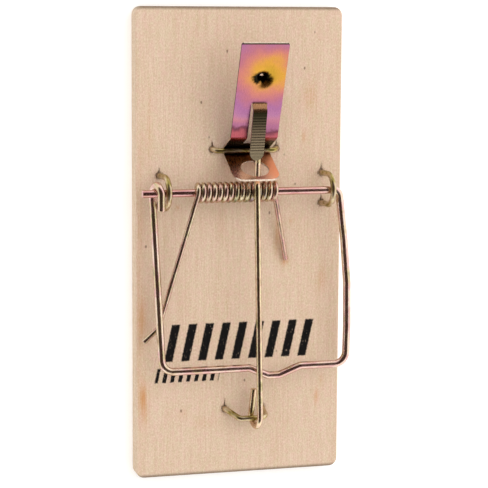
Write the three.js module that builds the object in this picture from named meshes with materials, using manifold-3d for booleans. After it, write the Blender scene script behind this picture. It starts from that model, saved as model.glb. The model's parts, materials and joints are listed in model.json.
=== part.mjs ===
// A snap mouse trap in its set state. A wooden board carries seven bent wires, four of them
// staples, and a folded sheet pedal. The strike bar is one wire: its axle runs through the
// torsion spring and two staples, and its crossbar is held down by the locking bar, whose tip
// passes through the pedal. Millimetres, +Z up, +Y towards the bait end, and the origin at the
// centre of the board's underside. Heights are above the board's top face unless said otherwise.
import * as THREE from "three";
import { mergeVertices } from "three/addons/utils/BufferGeometryUtils.js";
import Module from "manifold-3d";

// Board
const boardLength = 100;
const boardWidth = 45;
const boardThickness = 4;
const boardCornerRadius = 1.8;
const boardEdgeEase = 0.3;
const boardCornerSegments = 5;

// Wire diameters and sheet thickness
const strikeWire = 1.6;
const springWire = 1.1;
const axleStapleWire = 1.2;
const holdDownWire = 1.3;
const holdDownStapleWire = 1.2;
const pedalStapleWire = 1.1;
const pedalSheet = 0.4;

// Gaps
const restGap = 0.25; // between pieces that bear on each other
const coilGap = 0.35; // between the axle and the coil round it
const turnGap = 0.09; // between neighbouring turns of the coil
const eyeGap = 0.1; // between the axle and the eye that closes the strike bar
const pivotGap = 0.15; // between the pedal's valley and its pivot wire
const legHoleGap = 0.3; // round and below a staple's leg

// Staple legs
const legDepth = 3;
const footRise = 0.3; // above the board, where a leg turns towards its crown
const footBend = 0.7; // its bend radius, in wire diameters

// Strike bar
const axleY = 11.6;
const axleHeight = 5.6;
const crossbarY = -26.1;
const crossbarHeight = 5;
const axleEndFromSide = 0.2; // the axle's free end, in from the board's left side
const leftArmFromSide = 2.7; // at the axle
const leftCornerFromSide = 4.6; // at the crossbar
const rightArmFromSide = 2.2; // at the axle
const rightBowPastSide = 0.3; // where the right arm bows out past the board's right side
const rightBowY = -8.5;
const rightBowRadius = 130;
const eyeStrandFromSide = 3.9; // the strand that comes back over the axle
const eyeTail = 3.6; // how far that strand runs past the axle
const axleBend = 1.6;
const cornerBend = 2.6;
const notchLeftX = 1;
const notchRightX = 12.2;
const notchBottomLeftX = 5.2;
const notchBottomRightX = 7.6;
const notchDepth = 1.8;
const notchBend = 2;

// Torsion spring
const coilFullTurns = 14;
const coilCentreX = -2.2;
const drivingLegY = -17.2; // where the left leg passes under the strike bar's arm
const drivingLegBend = 1.2;
const drivingTipOut = 3.1;
const drivingTipBack = 2.8;
const restingLegX = 10.1;
const restingLegY = -3.7;

// Axle staples
const axleStapleSpan = 6.5;
const leftStapleFromSide = 5.05;
const leftStapleLean = 0.55;
const rightStapleFromSide = 4.3;
const rightStapleLean = 0.4;

// Staple of the locking bar: its legs stand nearer the middle than its crown
const crownY = -37.35;
const crownHeight = 3.6;
const crownLegY = -35.8;
const crownLeftLegX = -3.05;
const crownLeftX = -0.6;
const crownRightX = 5.3;
const crownRightLegX = 5.1;
const crownBend = 1.3;

// Locking bar
const hookReturnX = 2.3;
const hookTipX = 2.65;
const hookTipY = -31.1;
const hookTipRise = 0.9;
const hookX = 3.15;
const barOverCoilX = 1.45;
const barTipX = 2.2;
const barTipY = 18.6;

// Pedal, placed from its pivot
const pivotY = 19.9;
const pedalBoardGap = 0.2;
const pedalCentreX = 1.3;
const pedalWidth = 10.1;
const foldAhead = 3.1;
const foldRise = 5.1;
const foldBend = 0.8;
const upperPlateLength = 21.5;
const upperPlateSlope = THREE.MathUtils.degToRad(23.3);
const lipBehind = 5.5;
const lipAboveBar = 1.05; // over the locking bar's centreline where it crosses the coil
const lipCornerRadius = 2.4;
const lipStrip = 1.15;
const lipHoleDiameter = 6;
const lipHoleX = 1.6;

// Pedal's tongue, cut from the slot and bent up over the tip of the locking bar
const tongueWidth = 3;
const tongueX = 1.5;
const tongueSideGap = 0.2;
const tongueRootAlong = 8; // up the plate from the fold
const slotBelowFold = 3.4;
const tongueHump = 0.75;
const tongueHumpBack = 1.6;
const tongueBend = 1;

// Pierced bait cup in the pedal
const baitCupAlong = 13.6;
const baitCupX = 1.7;
const baitCupRadius = 1.7;
const baitCupThroat = 0.7;
const baitCupDepth = 1;

// Pedal's staple
const pedalStapleLeftX = -6;
const pedalStapleRightX = 8.05;
const pedalStapleSet = 0.3; // how far the legs stand ahead of the pivot wire
const pedalStapleBend = 0.8;

// Resolution
const wireSides = 12;
const springSides = 8;
const coilStepsPerTurn = 14;
const bendStep = THREE.MathUtils.degToRad(18);
const holeSegments = 24;
const plateCornerSegments = 8;
const legPasses = 4; // that settle the driving leg under the arm

// How far a cutter, or a solid that is joined on, runs past the edge it meets
const runOver = 1;

// Sizes that follow from those above
const leftSide = -boardWidth / 2;
const rightSide = boardWidth / 2;
const eyeRadius = strikeWire + eyeGap;
const coilRadius = strikeWire / 2 + coilGap + springWire / 2;
const overCoilRadius = coilRadius + springWire / 2 + restGap + holdDownWire / 2;
const hookBearing = holdDownStapleWire / 2 + restGap + holdDownWire / 2;
const valleyRadius = pedalStapleWire / 2 + pivotGap + pedalSheet / 2;
const pivotHeight = valleyRadius + pedalSheet / 2 + pedalBoardGap;
const cutDepth = pedalSheet + 2 * runOver; // of a cutter through the pedal's sheet

const axle = { y: axleY, z: axleHeight };
const pivot = { y: pivotY, z: pivotHeight };
const leftArmTop = new THREE.Vector3(leftSide + leftArmFromSide, axleY, axleHeight - eyeRadius);
const leftCorner = new THREE.Vector3(leftSide + leftCornerFromSide, crossbarY, crossbarHeight);

// ---- Wires ----

// A wire's centreline, held as the stations where its section stands.
class WireLine extends THREE.Curve {
  constructor(stations) {
    super();
    this.stations = stations;
  }

  getPoint(t, target = new THREE.Vector3()) {
    const last = this.stations.length - 1;
    const place = Math.min(t, 1) * last;
    const before = Math.min(Math.floor(place), last - 1);
    return target.lerpVectors(this.stations[before], this.stations[before + 1], place - before);
  }

  getPointAt(u, target) {
    return this.getPoint(u, target);
  }

  getTangentAt(u, target = new THREE.Vector3()) {
    const last = this.stations.length - 1;
    const here = Math.round(u * last);
    const station = this.stations[here];
    const arriving = station.clone().sub(this.stations[Math.max(here - 1, 0)]).normalize();
    const leaving = this.stations[Math.min(here + 1, last)].clone().sub(station).normalize();
    return target.copy(arriving).add(leaving).normalize();
  }
}

// Stations of a wire bent from straight runs. A corner is [x, y, z, bend radius], and the two
// ends have no radius.
function bent(corners) {
  return corners.flatMap(([x, y, z, bend = 0], i) => {
    const corner = new THREE.Vector3(x, y, z);
    if (!bend) return [corner];
    const arriving = corner.clone().sub(new THREE.Vector3(...corners[i - 1])).normalize();
    const leaving = new THREE.Vector3(...corners[i + 1]).sub(corner).normalize();
    const turn = arriving.angleTo(leaving);
    const inward = leaving.clone().addScaledVector(arriving, -Math.cos(turn)).normalize();
    const start = corner.clone().addScaledVector(arriving, -bend * Math.tan(turn / 2));
    const steps = Math.ceil(turn / bendStep);
    return Array.from({ length: steps + 1 }, (_, k) => {
      const angle = (turn * k) / steps;
      return start
        .clone()
        .addScaledVector(arriving, bend * Math.sin(angle))
        .addScaledVector(inward, bend * (1 - Math.cos(angle)));
    });
  });
}

// Stations of an arc round a line along X. Angles run from +Y towards +Z, and x moves evenly.
function arc(centre, radius, fromAngle, toAngle, fromX, toX, step = bendStep) {
  const steps = Math.ceil(Math.abs(toAngle - fromAngle) / step);
  return Array.from({ length: steps + 1 }, (_, k) => {
    const share = k / steps;
    const angle = THREE.MathUtils.lerp(fromAngle, toAngle, share);
    const x = THREE.MathUtils.lerp(fromX, toX, share);
    return new THREE.Vector3(
      x,
      centre.y + radius * Math.cos(angle),
      centre.z + radius * Math.sin(angle),
    );
  });
}

// The angle on a circle where a straight line from a point touches it: side -1 is the touch
// that comes first counted back from the point, and +1 the one past it.
function touchAngle(point, centre, radius, side) {
  const y = point.y - centre.y;
  const z = point.z - centre.z;
  return Math.atan2(z, y) + side * Math.acos(radius / Math.hypot(y, z));
}

function polygon(sides, radius) {
  const points = Array.from({ length: sides }, (_, i) => {
    const angle = ((i + 0.5) * 2 * Math.PI) / sides;
    return new THREE.Vector2(radius * Math.cos(angle), radius * Math.sin(angle));
  });
  return new THREE.Shape(points);
}

function wire(stations, diameter, sides = wireSides) {
  const path = new WireLine(stations);
  const steps = stations.length - 1;
  return new THREE.ExtrudeGeometry(polygon(sides, diameter / 2), { steps, extrudePath: path });
}

// ---- Solids that need a cut or a join ----

const wasm = await Module();
wasm.setup();

function solid(geometry, matrix = new THREE.Matrix4()) {
  const placed = geometry.clone().applyMatrix4(matrix);
  placed.deleteAttribute("normal");
  placed.deleteAttribute("uv");
  const merged = mergeVertices(placed);
  const vertProperties = merged.attributes.position.array;
  const triVerts = new Uint32Array(merged.index.array);
  return new wasm.Manifold(new wasm.Mesh({ numProp: 3, vertProperties, triVerts }));
}

function geometryOf(manifold) {
  const mesh = manifold.getMesh();
  const indexed = new THREE.BufferGeometry();
  indexed.setAttribute("position", new THREE.BufferAttribute(mesh.vertProperties, 3));
  indexed.setIndex(new THREE.BufferAttribute(mesh.triVerts, 1));
  const geometry = indexed.toNonIndexed();
  geometry.computeVertexNormals();
  return geometry;
}

// A flat shape given as (y, z), made a bar along X.
function barAlongX(shape, fromX, toX) {
  const geometry = new THREE.ExtrudeGeometry(shape, { depth: toX - fromX, bevelEnabled: false });
  const turned = new THREE.Matrix4().makeBasis(
    new THREE.Vector3(0, 1, 0),
    new THREE.Vector3(0, 0, 1),
    new THREE.Vector3(1, 0, 0),
  );
  turned.setPosition(fromX, 0, 0);
  return solid(geometry, turned);
}

// The (y, z) outline of a sheet that follows a centreline in the YZ plane.
function sheetOutline(stations, thickness) {
  const line = new WireLine(stations);
  const last = stations.length - 1;
  const edge = (sign) =>
    stations.map((station, i) => {
      const along = line.getTangentAt(i / last);
      const offset = (sign * thickness) / 2;
      return new THREE.Vector2(station.y - along.z * offset, station.z + along.y * offset);
    });
  return new THREE.Shape([...edge(-1), ...edge(1).reverse()]);
}

// ---- Where the locking bar runs ----

// The pedal's lower plate climbs from its valley, round the pivot, back to its lip.
function lowerPlate() {
  const lip = { y: pivot.y - lipBehind, z: axle.z + overCoilRadius + lipAboveBar };
  const foot = touchAngle(lip, pivot, valleyRadius, 1);
  const start = {
    y: pivot.y + valleyRadius * Math.cos(foot),
    z: pivot.z + valleyRadius * Math.sin(foot),
  };
  const length = Math.hypot(lip.y - start.y, lip.z - start.z);
  const along = { y: (lip.y - start.y) / length, z: (lip.z - start.z) / length };
  return { lip, foot, along };
}

function lockingBarRun() {
  const overCrossbar = {
    y: crossbarY,
    z: crossbarHeight + strikeWire / 2 + restGap + holdDownWire / 2,
  };
  const onTop = touchAngle(overCrossbar, axle, overCoilRadius, -1);
  const slope = Math.tan(onTop - Math.PI / 2);
  const { lip, along } = lowerPlate();
  const underStrip = {
    y: lip.y - along.y * lipStrip,
    z: lip.z - along.z * lipStrip - holdDownWire / 2 - restGap - pedalSheet / 2,
  };
  const offTop = touchAngle(underStrip, axle, overCoilRadius, 1);
  const fall = Math.tan(Math.PI / 2 - offTop);
  return {
    onTop,
    offTop,
    hookTop: overCrossbar.z + (crownY - crossbarY) * slope,
    heightPastCoil: (y) => underStrip.z - (y - underStrip.y) * fall,
  };
}

// ---- The pieces ----

const legHoles = [];

// A staple, whose line starts and ends at the bottom of its two legs.
function staple(line, diameter) {
  for (const { x, y } of [line[0], line[line.length - 1]]) {
    legHoles.push({ x, y, radius: diameter / 2 + legHoleGap });
  }
  return wire(line, diameter);
}

// A staple bent from straight runs, given its two feet and its crown's two corners.
function squareStaple([leftX, rightX], legY, crown, diameter) {
  const foot = (x) => [x, legY, footRise, footBend * diameter];
  const line = bent([
    [leftX, legY, -legDepth],
    foot(leftX),
    ...crown,
    foot(rightX),
    [rightX, legY, -legDepth],
  ]);
  return staple(line, diameter);
}

function axleStaple(legX, lean) {
  const half = axleStapleSpan / 2;
  const top = axleHeight + strikeWire / 2 + restGap + axleStapleWire / 2;
  const crown = arc({ y: axleY, z: top - half }, half, 0, Math.PI, legX, legX);
  for (const station of crown) station.x += (lean * station.z) / top;
  const [far, near] = [1, -1].map((side) => [
    new THREE.Vector3(legX, axleY + side * half, -legDepth),
    new THREE.Vector3(legX, axleY + side * half, 0),
  ]);
  return staple([...far, ...crown, ...near.reverse()], axleStapleWire);
}

function holdDownStaple() {
  const crown = [
    [crownLeftX, crownY, crownHeight, crownBend],
    [crownRightX, crownY, crownHeight, crownBend],
  ];
  return squareStaple([crownLeftLegX, crownRightLegX], crownLegY, crown, holdDownStapleWire);
}

function pedalStaple() {
  const shoulder = pedalStapleBend;
  const crown = [
    [pedalStapleLeftX + shoulder, pivotY, pivotHeight, pedalStapleBend],
    [pedalStapleRightX - shoulder, pivotY, pivotHeight, pedalStapleBend],
  ];
  const legsX = [pedalStapleLeftX, pedalStapleRightX];
  return squareStaple(legsX, pivotY + pedalStapleSet, crown, pedalStapleWire);
}

function strikeBar() {
  const rightTopX = rightSide - rightArmFromSide;
  const bowX = rightSide + rightBowPastSide;
  const bowShare = (axleY - rightBowY) / (axleY - crossbarY);
  const bowHeight = THREE.MathUtils.lerp(axleHeight, crossbarHeight, bowShare);
  const notchY = crossbarY - notchDepth;
  const frame = bent([
    [leftSide + axleEndFromSide, axleY, axleHeight],
    [rightTopX, axleY, axleHeight, axleBend],
    [bowX, rightBowY, bowHeight, rightBowRadius],
    [rightSide, crossbarY, crossbarHeight, cornerBend],
    [notchRightX, crossbarY, crossbarHeight, notchBend],
    [notchBottomRightX, notchY, crossbarHeight, notchBend],
    [notchBottomLeftX, notchY, crossbarHeight, notchBend],
    [notchLeftX, crossbarY, crossbarHeight, notchBend],
    [...leftCorner.toArray(), cornerBend],
    leftArmTop.toArray(),
  ]);
  const strandX = leftSide + eyeStrandFromSide;
  const eye = arc(axle, eyeRadius, -Math.PI / 2, Math.PI / 2, leftArmTop.x, strandX);
  const tail = new THREE.Vector3(strandX, axleY - eyeTail, axleHeight + eyeRadius);
  return wire([...frame, ...eye.slice(1), tail], strikeWire);
}

// The coil between its two legs, each of which leaves it along a tangent.
function coilStations(underArm, restingTip) {
  const fullTurn = 2 * Math.PI;
  const leftAngle = touchAngle(underArm, axle, coilRadius, -1) + fullTurn;
  const partTurn = leftAngle - touchAngle(restingTip, axle, coilRadius, 1);
  const turning = partTurn - fullTurn * Math.floor(partTurn / fullTurn) + fullTurn * coilFullTurns;
  const length = (turning / fullTurn) * (springWire + turnGap);
  const leftX = coilCentreX - length / 2;
  const step = fullTurn / coilStepsPerTurn;
  return arc(axle, coilRadius, leftAngle, leftAngle - turning, leftX, leftX + length, step);
}

// The driving leg bears on the underside of the left arm. It passes below the arm's line by as
// much as keeps the two wires apart where they run close to parallel.
function torsionSpring() {
  const restingTip = new THREE.Vector3(restingLegX, restingLegY, springWire / 2 + restGap);
  const arm = leftCorner.clone().sub(leftArmTop);
  const onArm = leftArmTop.clone().addScaledVector(arm, (drivingLegY - leftArmTop.y) / arm.y);
  const offArm = strikeWire / 2 + restGap + springWire / 2;
  let underArm = onArm;
  let coil = coilStations(underArm, restingTip);
  for (let pass = 0; pass < legPasses; pass += 1) {
    const normal = coil[0].clone().sub(underArm).cross(arm).normalize();
    underArm = onArm.clone();
    underArm.z -= offArm / Math.abs(normal.z);
    coil = coilStations(underArm, restingTip);
  }
  const drivingLeg = bent([
    [underArm.x - drivingTipOut, underArm.y - drivingTipBack, underArm.z],
    [...underArm.toArray(), drivingLegBend],
    coil[0].toArray(),
  ]);
  return wire([...drivingLeg.slice(0, -1), ...coil, restingTip], springWire, springSides);
}

// The hook hangs on the staple's crown by its lower back quarter, and its top is the bar's run.
function holdDownBar() {
  const { onTop, offTop, hookTop, heightPastCoil } = lockingBarRun();
  const diagonal = Math.SQRT1_2;
  const hookRadius = (hookTop - crownHeight + hookBearing * diagonal) / (1 + diagonal);
  const slack = (hookRadius - hookBearing) * diagonal;
  const hookCentre = { y: crownY + slack, z: crownHeight + slack };
  const quarter = Math.PI / 2;
  const hook = arc(hookCentre, hookRadius, -quarter, -3 * quarter, hookReturnX, hookX);
  const overCoil = arc(axle, overCoilRadius, onTop, offTop, barOverCoilX, barOverCoilX);
  return wire(
    [
      new THREE.Vector3(hookTipX, hookTipY, hookCentre.z - hookRadius + hookTipRise),
      ...hook,
      ...overCoil,
      new THREE.Vector3(barTipX, barTipY, heightPastCoil(barTipY)),
    ],
    holdDownWire,
  );
}

// What fills the square corner outside a rounded one, through a sheet: the corner lies at
// the shape's origin, and the plate is on the side of +X and -Y.
function cornerCutter(radius) {
  const shape = new THREE.Shape();
  shape.moveTo(-runOver, runOver);
  shape.lineTo(-runOver, -radius);
  shape.lineTo(0, -radius);
  shape.absarc(radius, -radius, radius, Math.PI, Math.PI / 2, true);
  shape.lineTo(radius, runOver);
  const options = { depth: cutDepth, bevelEnabled: false, curveSegments: plateCornerSegments };
  return new THREE.ExtrudeGeometry(shape, options).translate(0, 0, -cutDepth / 2);
}

// A frame on a plate of the pedal: x along +X, y up the plate, z along its normal.
function onPlate(x, point, along) {
  const up = new THREE.Vector3(0, along.y, along.z);
  const right = new THREE.Vector3(1, 0, 0);
  const matrix = new THREE.Matrix4().makeBasis(right, up, right.clone().cross(up));
  return matrix.setPosition(x, point.y, point.z);
}

function baitCup(place) {
  const skin = pedalSheet / 2;
  const wall = [
    [baitCupRadius, skin],
    [baitCupThroat, skin - baitCupDepth],
    [baitCupThroat, -skin - baitCupDepth],
    [baitCupRadius + pedalSheet, -skin],
    [baitCupRadius + pedalSheet, skin],
    [baitCupRadius, skin],
  ].map(([r, z]) => new THREE.Vector2(r, z));
  const upright = new THREE.Matrix4().makeRotationX(Math.PI / 2);
  const matrix = place.clone().multiply(upright);
  const mouthRadius = baitCupRadius + skin;
  const mouth = new THREE.CylinderGeometry(mouthRadius, mouthRadius, cutDepth, holeSegments);
  return {
    cup: solid(new THREE.LatheGeometry(wall, holeSegments), matrix),
    mouth: solid(mouth, matrix),
  };
}

function tongue(root, along) {
  const tipY = barTipY - restGap;
  const overBar = holdDownWire / 2 + restGap + pedalSheet / 2;
  const tip = { y: tipY, z: lockingBarRun().heightPastCoil(tipY) + overBar };
  const hump = { y: root.y - tongueHumpBack, z: root.z + tongueHump };
  const line = bent([
    [0, root.y + along.y * runOver, root.z + along.z * runOver],
    [0, root.y, root.z, tongueBend / 2],
    [0, hump.y, hump.z, tongueBend],
    [0, tip.y, tip.z],
  ]);
  const half = tongueWidth / 2;
  const strip = barAlongX(sheetOutline(line, pedalSheet), tongueX - half, tongueX + half);
  const plan = new THREE.Shape();
  plan.moveTo(tongueX + half, root.y + 2 * runOver);
  plan.lineTo(tongueX - half, root.y + 2 * runOver);
  plan.absarc(tongueX, tip.y + half, half, Math.PI, 2 * Math.PI, false);
  const depth = hump.z + pedalSheet + runOver;
  const options = { depth, bevelEnabled: false, curveSegments: plateCornerSegments };
  return strip.intersect(solid(new THREE.ExtrudeGeometry(plan, options)));
}

function baitPedal() {
  const { lip, foot, along: lipAlong } = lowerPlate();
  const fold = { y: pivot.y + foldAhead, z: pivot.z + foldRise };
  const plateAlong = { y: Math.cos(upperPlateSlope), z: Math.sin(upperPlateSlope) };
  const upPlate = (distance) => ({
    y: fold.y + plateAlong.y * distance,
    z: fold.z + plateAlong.z * distance,
  });
  const end = upPlate(upperPlateLength);
  const riser = touchAngle(fold, pivot, valleyRadius, -1);
  const valley = arc(pivot, valleyRadius, riser, foot - 2 * Math.PI, 0, 0);
  const line = bent([[0, end.y, end.z], [0, fold.y, fold.z, foldBend], valley[0].toArray()]);
  const stations = [...line.slice(0, -1), ...valley, new THREE.Vector3(0, lip.y, lip.z)];
  const left = pedalCentreX - pedalWidth / 2;
  const right = pedalCentreX + pedalWidth / 2;
  let pedal = barAlongX(sheetOutline(stations, pedalSheet), left, right);

  const corner = cornerCutter(lipCornerRadius);
  const mirrored = new THREE.Matrix4().makeRotationY(Math.PI);
  pedal = pedal.subtract(solid(corner, onPlate(left, lip, lipAlong)));
  pedal = pedal.subtract(solid(corner, onPlate(right, lip, lipAlong).multiply(mirrored)));

  const holeRadius = lipHoleDiameter / 2;
  const holeFromLip = lipStrip + holeRadius;
  const holeCentre = {
    y: lip.y - lipAlong.y * holeFromLip,
    z: lip.z - lipAlong.z * holeFromLip,
  };
  const bore = new THREE.CylinderGeometry(holeRadius, holeRadius, cutDepth, holeSegments);
  bore.rotateX(Math.PI / 2);
  pedal = pedal.subtract(solid(bore, onPlate(lipHoleX, holeCentre, lipAlong)));

  const root = upPlate(tongueRootAlong);
  const riserTop = { y: fold.y - valley[0].y, z: fold.z - valley[0].z };
  const slotShare = slotBelowFold / Math.hypot(riserTop.y, riserTop.z);
  const slotEndY = fold.y - riserTop.y * slotShare;
  const slotWidth = tongueWidth + 2 * tongueSideGap;
  const slotHeight = end.z + runOver;
  const slot = new THREE.BoxGeometry(slotWidth, root.y - slotEndY, slotHeight);
  slot.translate(tongueX, (root.y + slotEndY) / 2, slotHeight / 2);
  pedal = pedal.subtract(solid(slot)).add(tongue(root, plateAlong));

  const { cup, mouth } = baitCup(onPlate(baitCupX, upPlate(baitCupAlong), plateAlong));
  return geometryOf(pedal.subtract(mouth).add(cup));
}

function roundedRectangle(width, length, radius) {
  const x = width / 2 - radius;
  const y = length / 2 - radius;
  const shape = new THREE.Shape();
  shape.absarc(x, y, radius, 0, Math.PI / 2, false);
  shape.absarc(-x, y, radius, Math.PI / 2, Math.PI, false);
  shape.absarc(-x, -y, radius, Math.PI, (3 * Math.PI) / 2, false);
  shape.absarc(x, -y, radius, (3 * Math.PI) / 2, 2 * Math.PI, false);
  return shape;
}

function baseBoard() {
  const outline = roundedRectangle(boardWidth, boardLength, boardCornerRadius);
  const slab = new THREE.ExtrudeGeometry(outline, {
    depth: boardThickness - 2 * boardEdgeEase,
    bevelThickness: boardEdgeEase,
    bevelSize: boardEdgeEase,
    bevelOffset: -boardEdgeEase,
    bevelSegments: 1,
    curveSegments: boardCornerSegments,
  });
  let board = solid(slab.translate(0, 0, boardEdgeEase));
  const depth = legDepth + legHoleGap;
  for (const { x, y, radius } of legHoles) {
    const hole = new THREE.CylinderGeometry(radius, radius, 2 * depth, holeSegments);
    hole.rotateX(Math.PI / 2);
    hole.translate(x, y, boardThickness);
    board = board.subtract(solid(hole));
  }
  return geometryOf(board);
}

// ---- The trap ----

const zincPlate = { color: 0xb3a67c, roughness: 0.32, metalness: 1 };
const springSteel = { color: 0xb5a690, roughness: 0.35, metalness: 1 };
const pedalPlate = { color: 0xb98274, roughness: 0.3, metalness: 1 };
const wood = { color: 0xdec4a8, roughness: 0.8, metalness: 0 };

function piece(name, geometry, finish) {
  const mesh = new THREE.Mesh(geometry, new THREE.MeshStandardMaterial(finish));
  mesh.name = name;
  return mesh;
}

const hardware = new THREE.Group();
hardware.position.z = boardThickness;
hardware.add(
  piece("strike_bar", strikeBar(), zincPlate),
  piece("torsion_spring", torsionSpring(), springSteel),
  piece("axle_staple_left", axleStaple(leftSide + leftStapleFromSide, leftStapleLean), zincPlate),
  piece("axle_staple_right", axleStaple(rightSide - rightStapleFromSide, rightStapleLean), zincPlate),
  piece("hold_down_staple", holdDownStaple(), zincPlate),
  piece("hold_down_bar", holdDownBar(), zincPlate),
  piece("bait_pedal", baitPedal(), pedalPlate),
  piece("pedal_staple", pedalStaple(), zincPlate),
);

const mouseTrap = new THREE.Group();
mouseTrap.add(piece("base_board", baseBoard(), wood), hardware);

export default mouseTrap;
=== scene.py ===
"""A snap mouse trap, set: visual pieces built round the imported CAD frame.

Lengths in the tables below are in millimetres. They are turned to metres where points are
placed, with heights counted from the board's top face.
"""

import json
import math

import bmesh
import bpy
import numpy as np
from mathutils import Matrix, Vector, geometry, noise


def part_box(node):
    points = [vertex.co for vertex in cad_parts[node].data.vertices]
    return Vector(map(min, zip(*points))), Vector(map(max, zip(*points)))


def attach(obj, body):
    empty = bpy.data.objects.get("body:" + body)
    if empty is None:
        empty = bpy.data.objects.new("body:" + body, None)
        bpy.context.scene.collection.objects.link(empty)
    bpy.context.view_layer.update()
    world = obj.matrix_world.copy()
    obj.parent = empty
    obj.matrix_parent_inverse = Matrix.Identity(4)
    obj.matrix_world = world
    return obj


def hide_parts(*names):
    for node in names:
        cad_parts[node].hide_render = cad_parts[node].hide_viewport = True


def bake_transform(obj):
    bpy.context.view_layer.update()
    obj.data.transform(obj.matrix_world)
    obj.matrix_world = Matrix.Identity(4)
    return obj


bl_info = {
    "name": "Snap Mouse Trap",
    "version": (1, 0, 0),
    "blender": (4, 5, 0),
    "location": "3D View > Sidebar > Mouse Trap",
    "description": "Builds a set snap mouse trap of wood, plated wire and sheet",
    "category": "Add Mesh",
}

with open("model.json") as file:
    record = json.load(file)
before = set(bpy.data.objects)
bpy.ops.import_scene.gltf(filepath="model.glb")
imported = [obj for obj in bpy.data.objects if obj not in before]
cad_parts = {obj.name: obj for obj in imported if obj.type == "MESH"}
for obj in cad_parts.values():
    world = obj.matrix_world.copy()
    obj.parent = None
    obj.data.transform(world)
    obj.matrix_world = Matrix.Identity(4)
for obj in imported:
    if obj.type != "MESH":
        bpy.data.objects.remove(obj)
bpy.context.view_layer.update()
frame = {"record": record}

MM = 0.001
JOINT_AT = {j["name"]: Vector(j["pos_m"]) / MM for j in frame["record"]["behaviour"]["joints"]}
BOARD_LOW, BOARD_HIGH = (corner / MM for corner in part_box("base_board"))
BOARD_TOP = BOARD_HIGH.z
LIFT = Vector((0, 0, BOARD_TOP))
AXLE = JOINT_AT["strike_swing"] - LIFT
CROWN = JOINT_AT["hold_down_swing"] - LIFT
PIVOT = JOINT_AT["pedal_press"] - LIFT
LEFT, RIGHT = BOARD_LOW.x, BOARD_HIGH.x

# Clearances between wires that bear on each other
REST_GAP = 0.25
COIL_GAP = 0.35
TURN_GAP = 0.09
PIVOT_GAP = 0.15
EYE_GAP = 0.1
LEG_DEPTH = 3

# Strike bar
CROSSBAR = Vector((0, -26.1, 5))
NOTCH = ((12.2, 0), (7.6, -1.8), (5.2, -1.8), (1, 0))
NOTCH_BEND = 2
LEFT_ARM_IN, LEFT_CORNER_IN, RIGHT_ARM_IN = 2.7, 4.6, 2.2
AXLE_END_IN = 0.2
BOW_OUT, BOW_Y, BOW_RADIUS = 0.3, -8.5, 130
EYE_STRAND_IN, EYE_TAIL = 3.9, 3.6
AXLE_BEND, CORNER_BEND = 1.6, 2.6

# Torsion spring
COIL_CENTRE_X = -2.2
DRIVING_LEG_Y, DRIVING_BEND = -17.2, 1.2
DRIVING_TIP = Vector((-3.1, -2.8, 0))
RESTING_TIP_X, RESTING_TIP_Y = 10.1, -3.7
LEG_PASSES = 4
SPRING_SIDES = 14

# Most turn from one point of a line to the next, in a bend and in the coil
BEND_STEP, COIL_STEP = math.radians(7), math.radians(12)

# Staples
AXLE_STAPLE_SPAN = 6.5
AXLE_STAPLES = {
    "axle_staple_left": (LEFT + 5.05, 0.55),
    "axle_staple_right": (RIGHT - 4.3, 0.4),
}
FOOT_RISE, FOOT_BEND = 0.3, 0.7
CROWN_LEG_Y, CROWN_LEGS_X, CROWN_X, CROWN_BEND = -35.8, (-3.05, 5.1), (-0.6, 5.3), 1.3
PEDAL_LEGS_X, PEDAL_LEG_SET, PEDAL_STAPLE_BEND = (-6, 8.05), 0.3, 0.8

# Locking bar
HOOK_RETURN_X, HOOK_X, HOOK_TIP = 2.3, 3.15, (2.65, -31.1, 0.9)
BAR_OVER_COIL_X, BAR_TIP = 1.45, (2.2, 18.6)

# Pedal
PEDAL_X, PEDAL_WIDTH = 1.3, 10.1
FOLD = (3.1, 5.1)
FOLD_BEND = 0.8
PLATE_LENGTH, PLATE_SLOPE = 21.5, math.radians(23.3)
LIP_BEHIND, LIP_ABOVE_BAR, LIP_CORNER, LIP_STRIP = 5.5, 1.05, 2.4, 1.15
LIP_HOLE_X, LIP_HOLE_RADIUS = 1.6, 3
TONGUE_X, TONGUE_WIDTH, TONGUE_KERF = 1.5, 3, 0.2
TONGUE_ROOT, SLOT_BELOW_FOLD = 8, 3.4
TONGUE_HUMP, TONGUE_HUMP_BACK, TONGUE_BEND = 0.75, 1.6, 1
RIDGE_PITCH, RIDGE_HEIGHT = 0.5, 0.024
CUP_AT, CUP_RIM, CUP_THROAT, CUP_DEPTH = (1.7, 13.6), 2.5, 0.42, 1.7
CREASE_DEGREES = 50


def linear(code):
    """An sRGB hex colour as linear red, green and blue."""
    channels = [int(code[i : i + 2], 16) / 255 for i in (1, 3, 5)]
    return tuple(c / 12.92 if c <= 0.04045 else ((c + 0.055) / 1.055) ** 2.4 for c in channels)


def length(name, description, default):
    text = {"name": name, "description": description}
    return bpy.props.FloatProperty(**text, default=default * MM, unit="LENGTH", precision=5)


def colour(name, description, code):
    shown = {"name": name, "description": description, "subtype": "COLOR", "min": 0, "max": 1}
    return bpy.props.FloatVectorProperty(**shown, size=3, default=linear(code))


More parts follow.
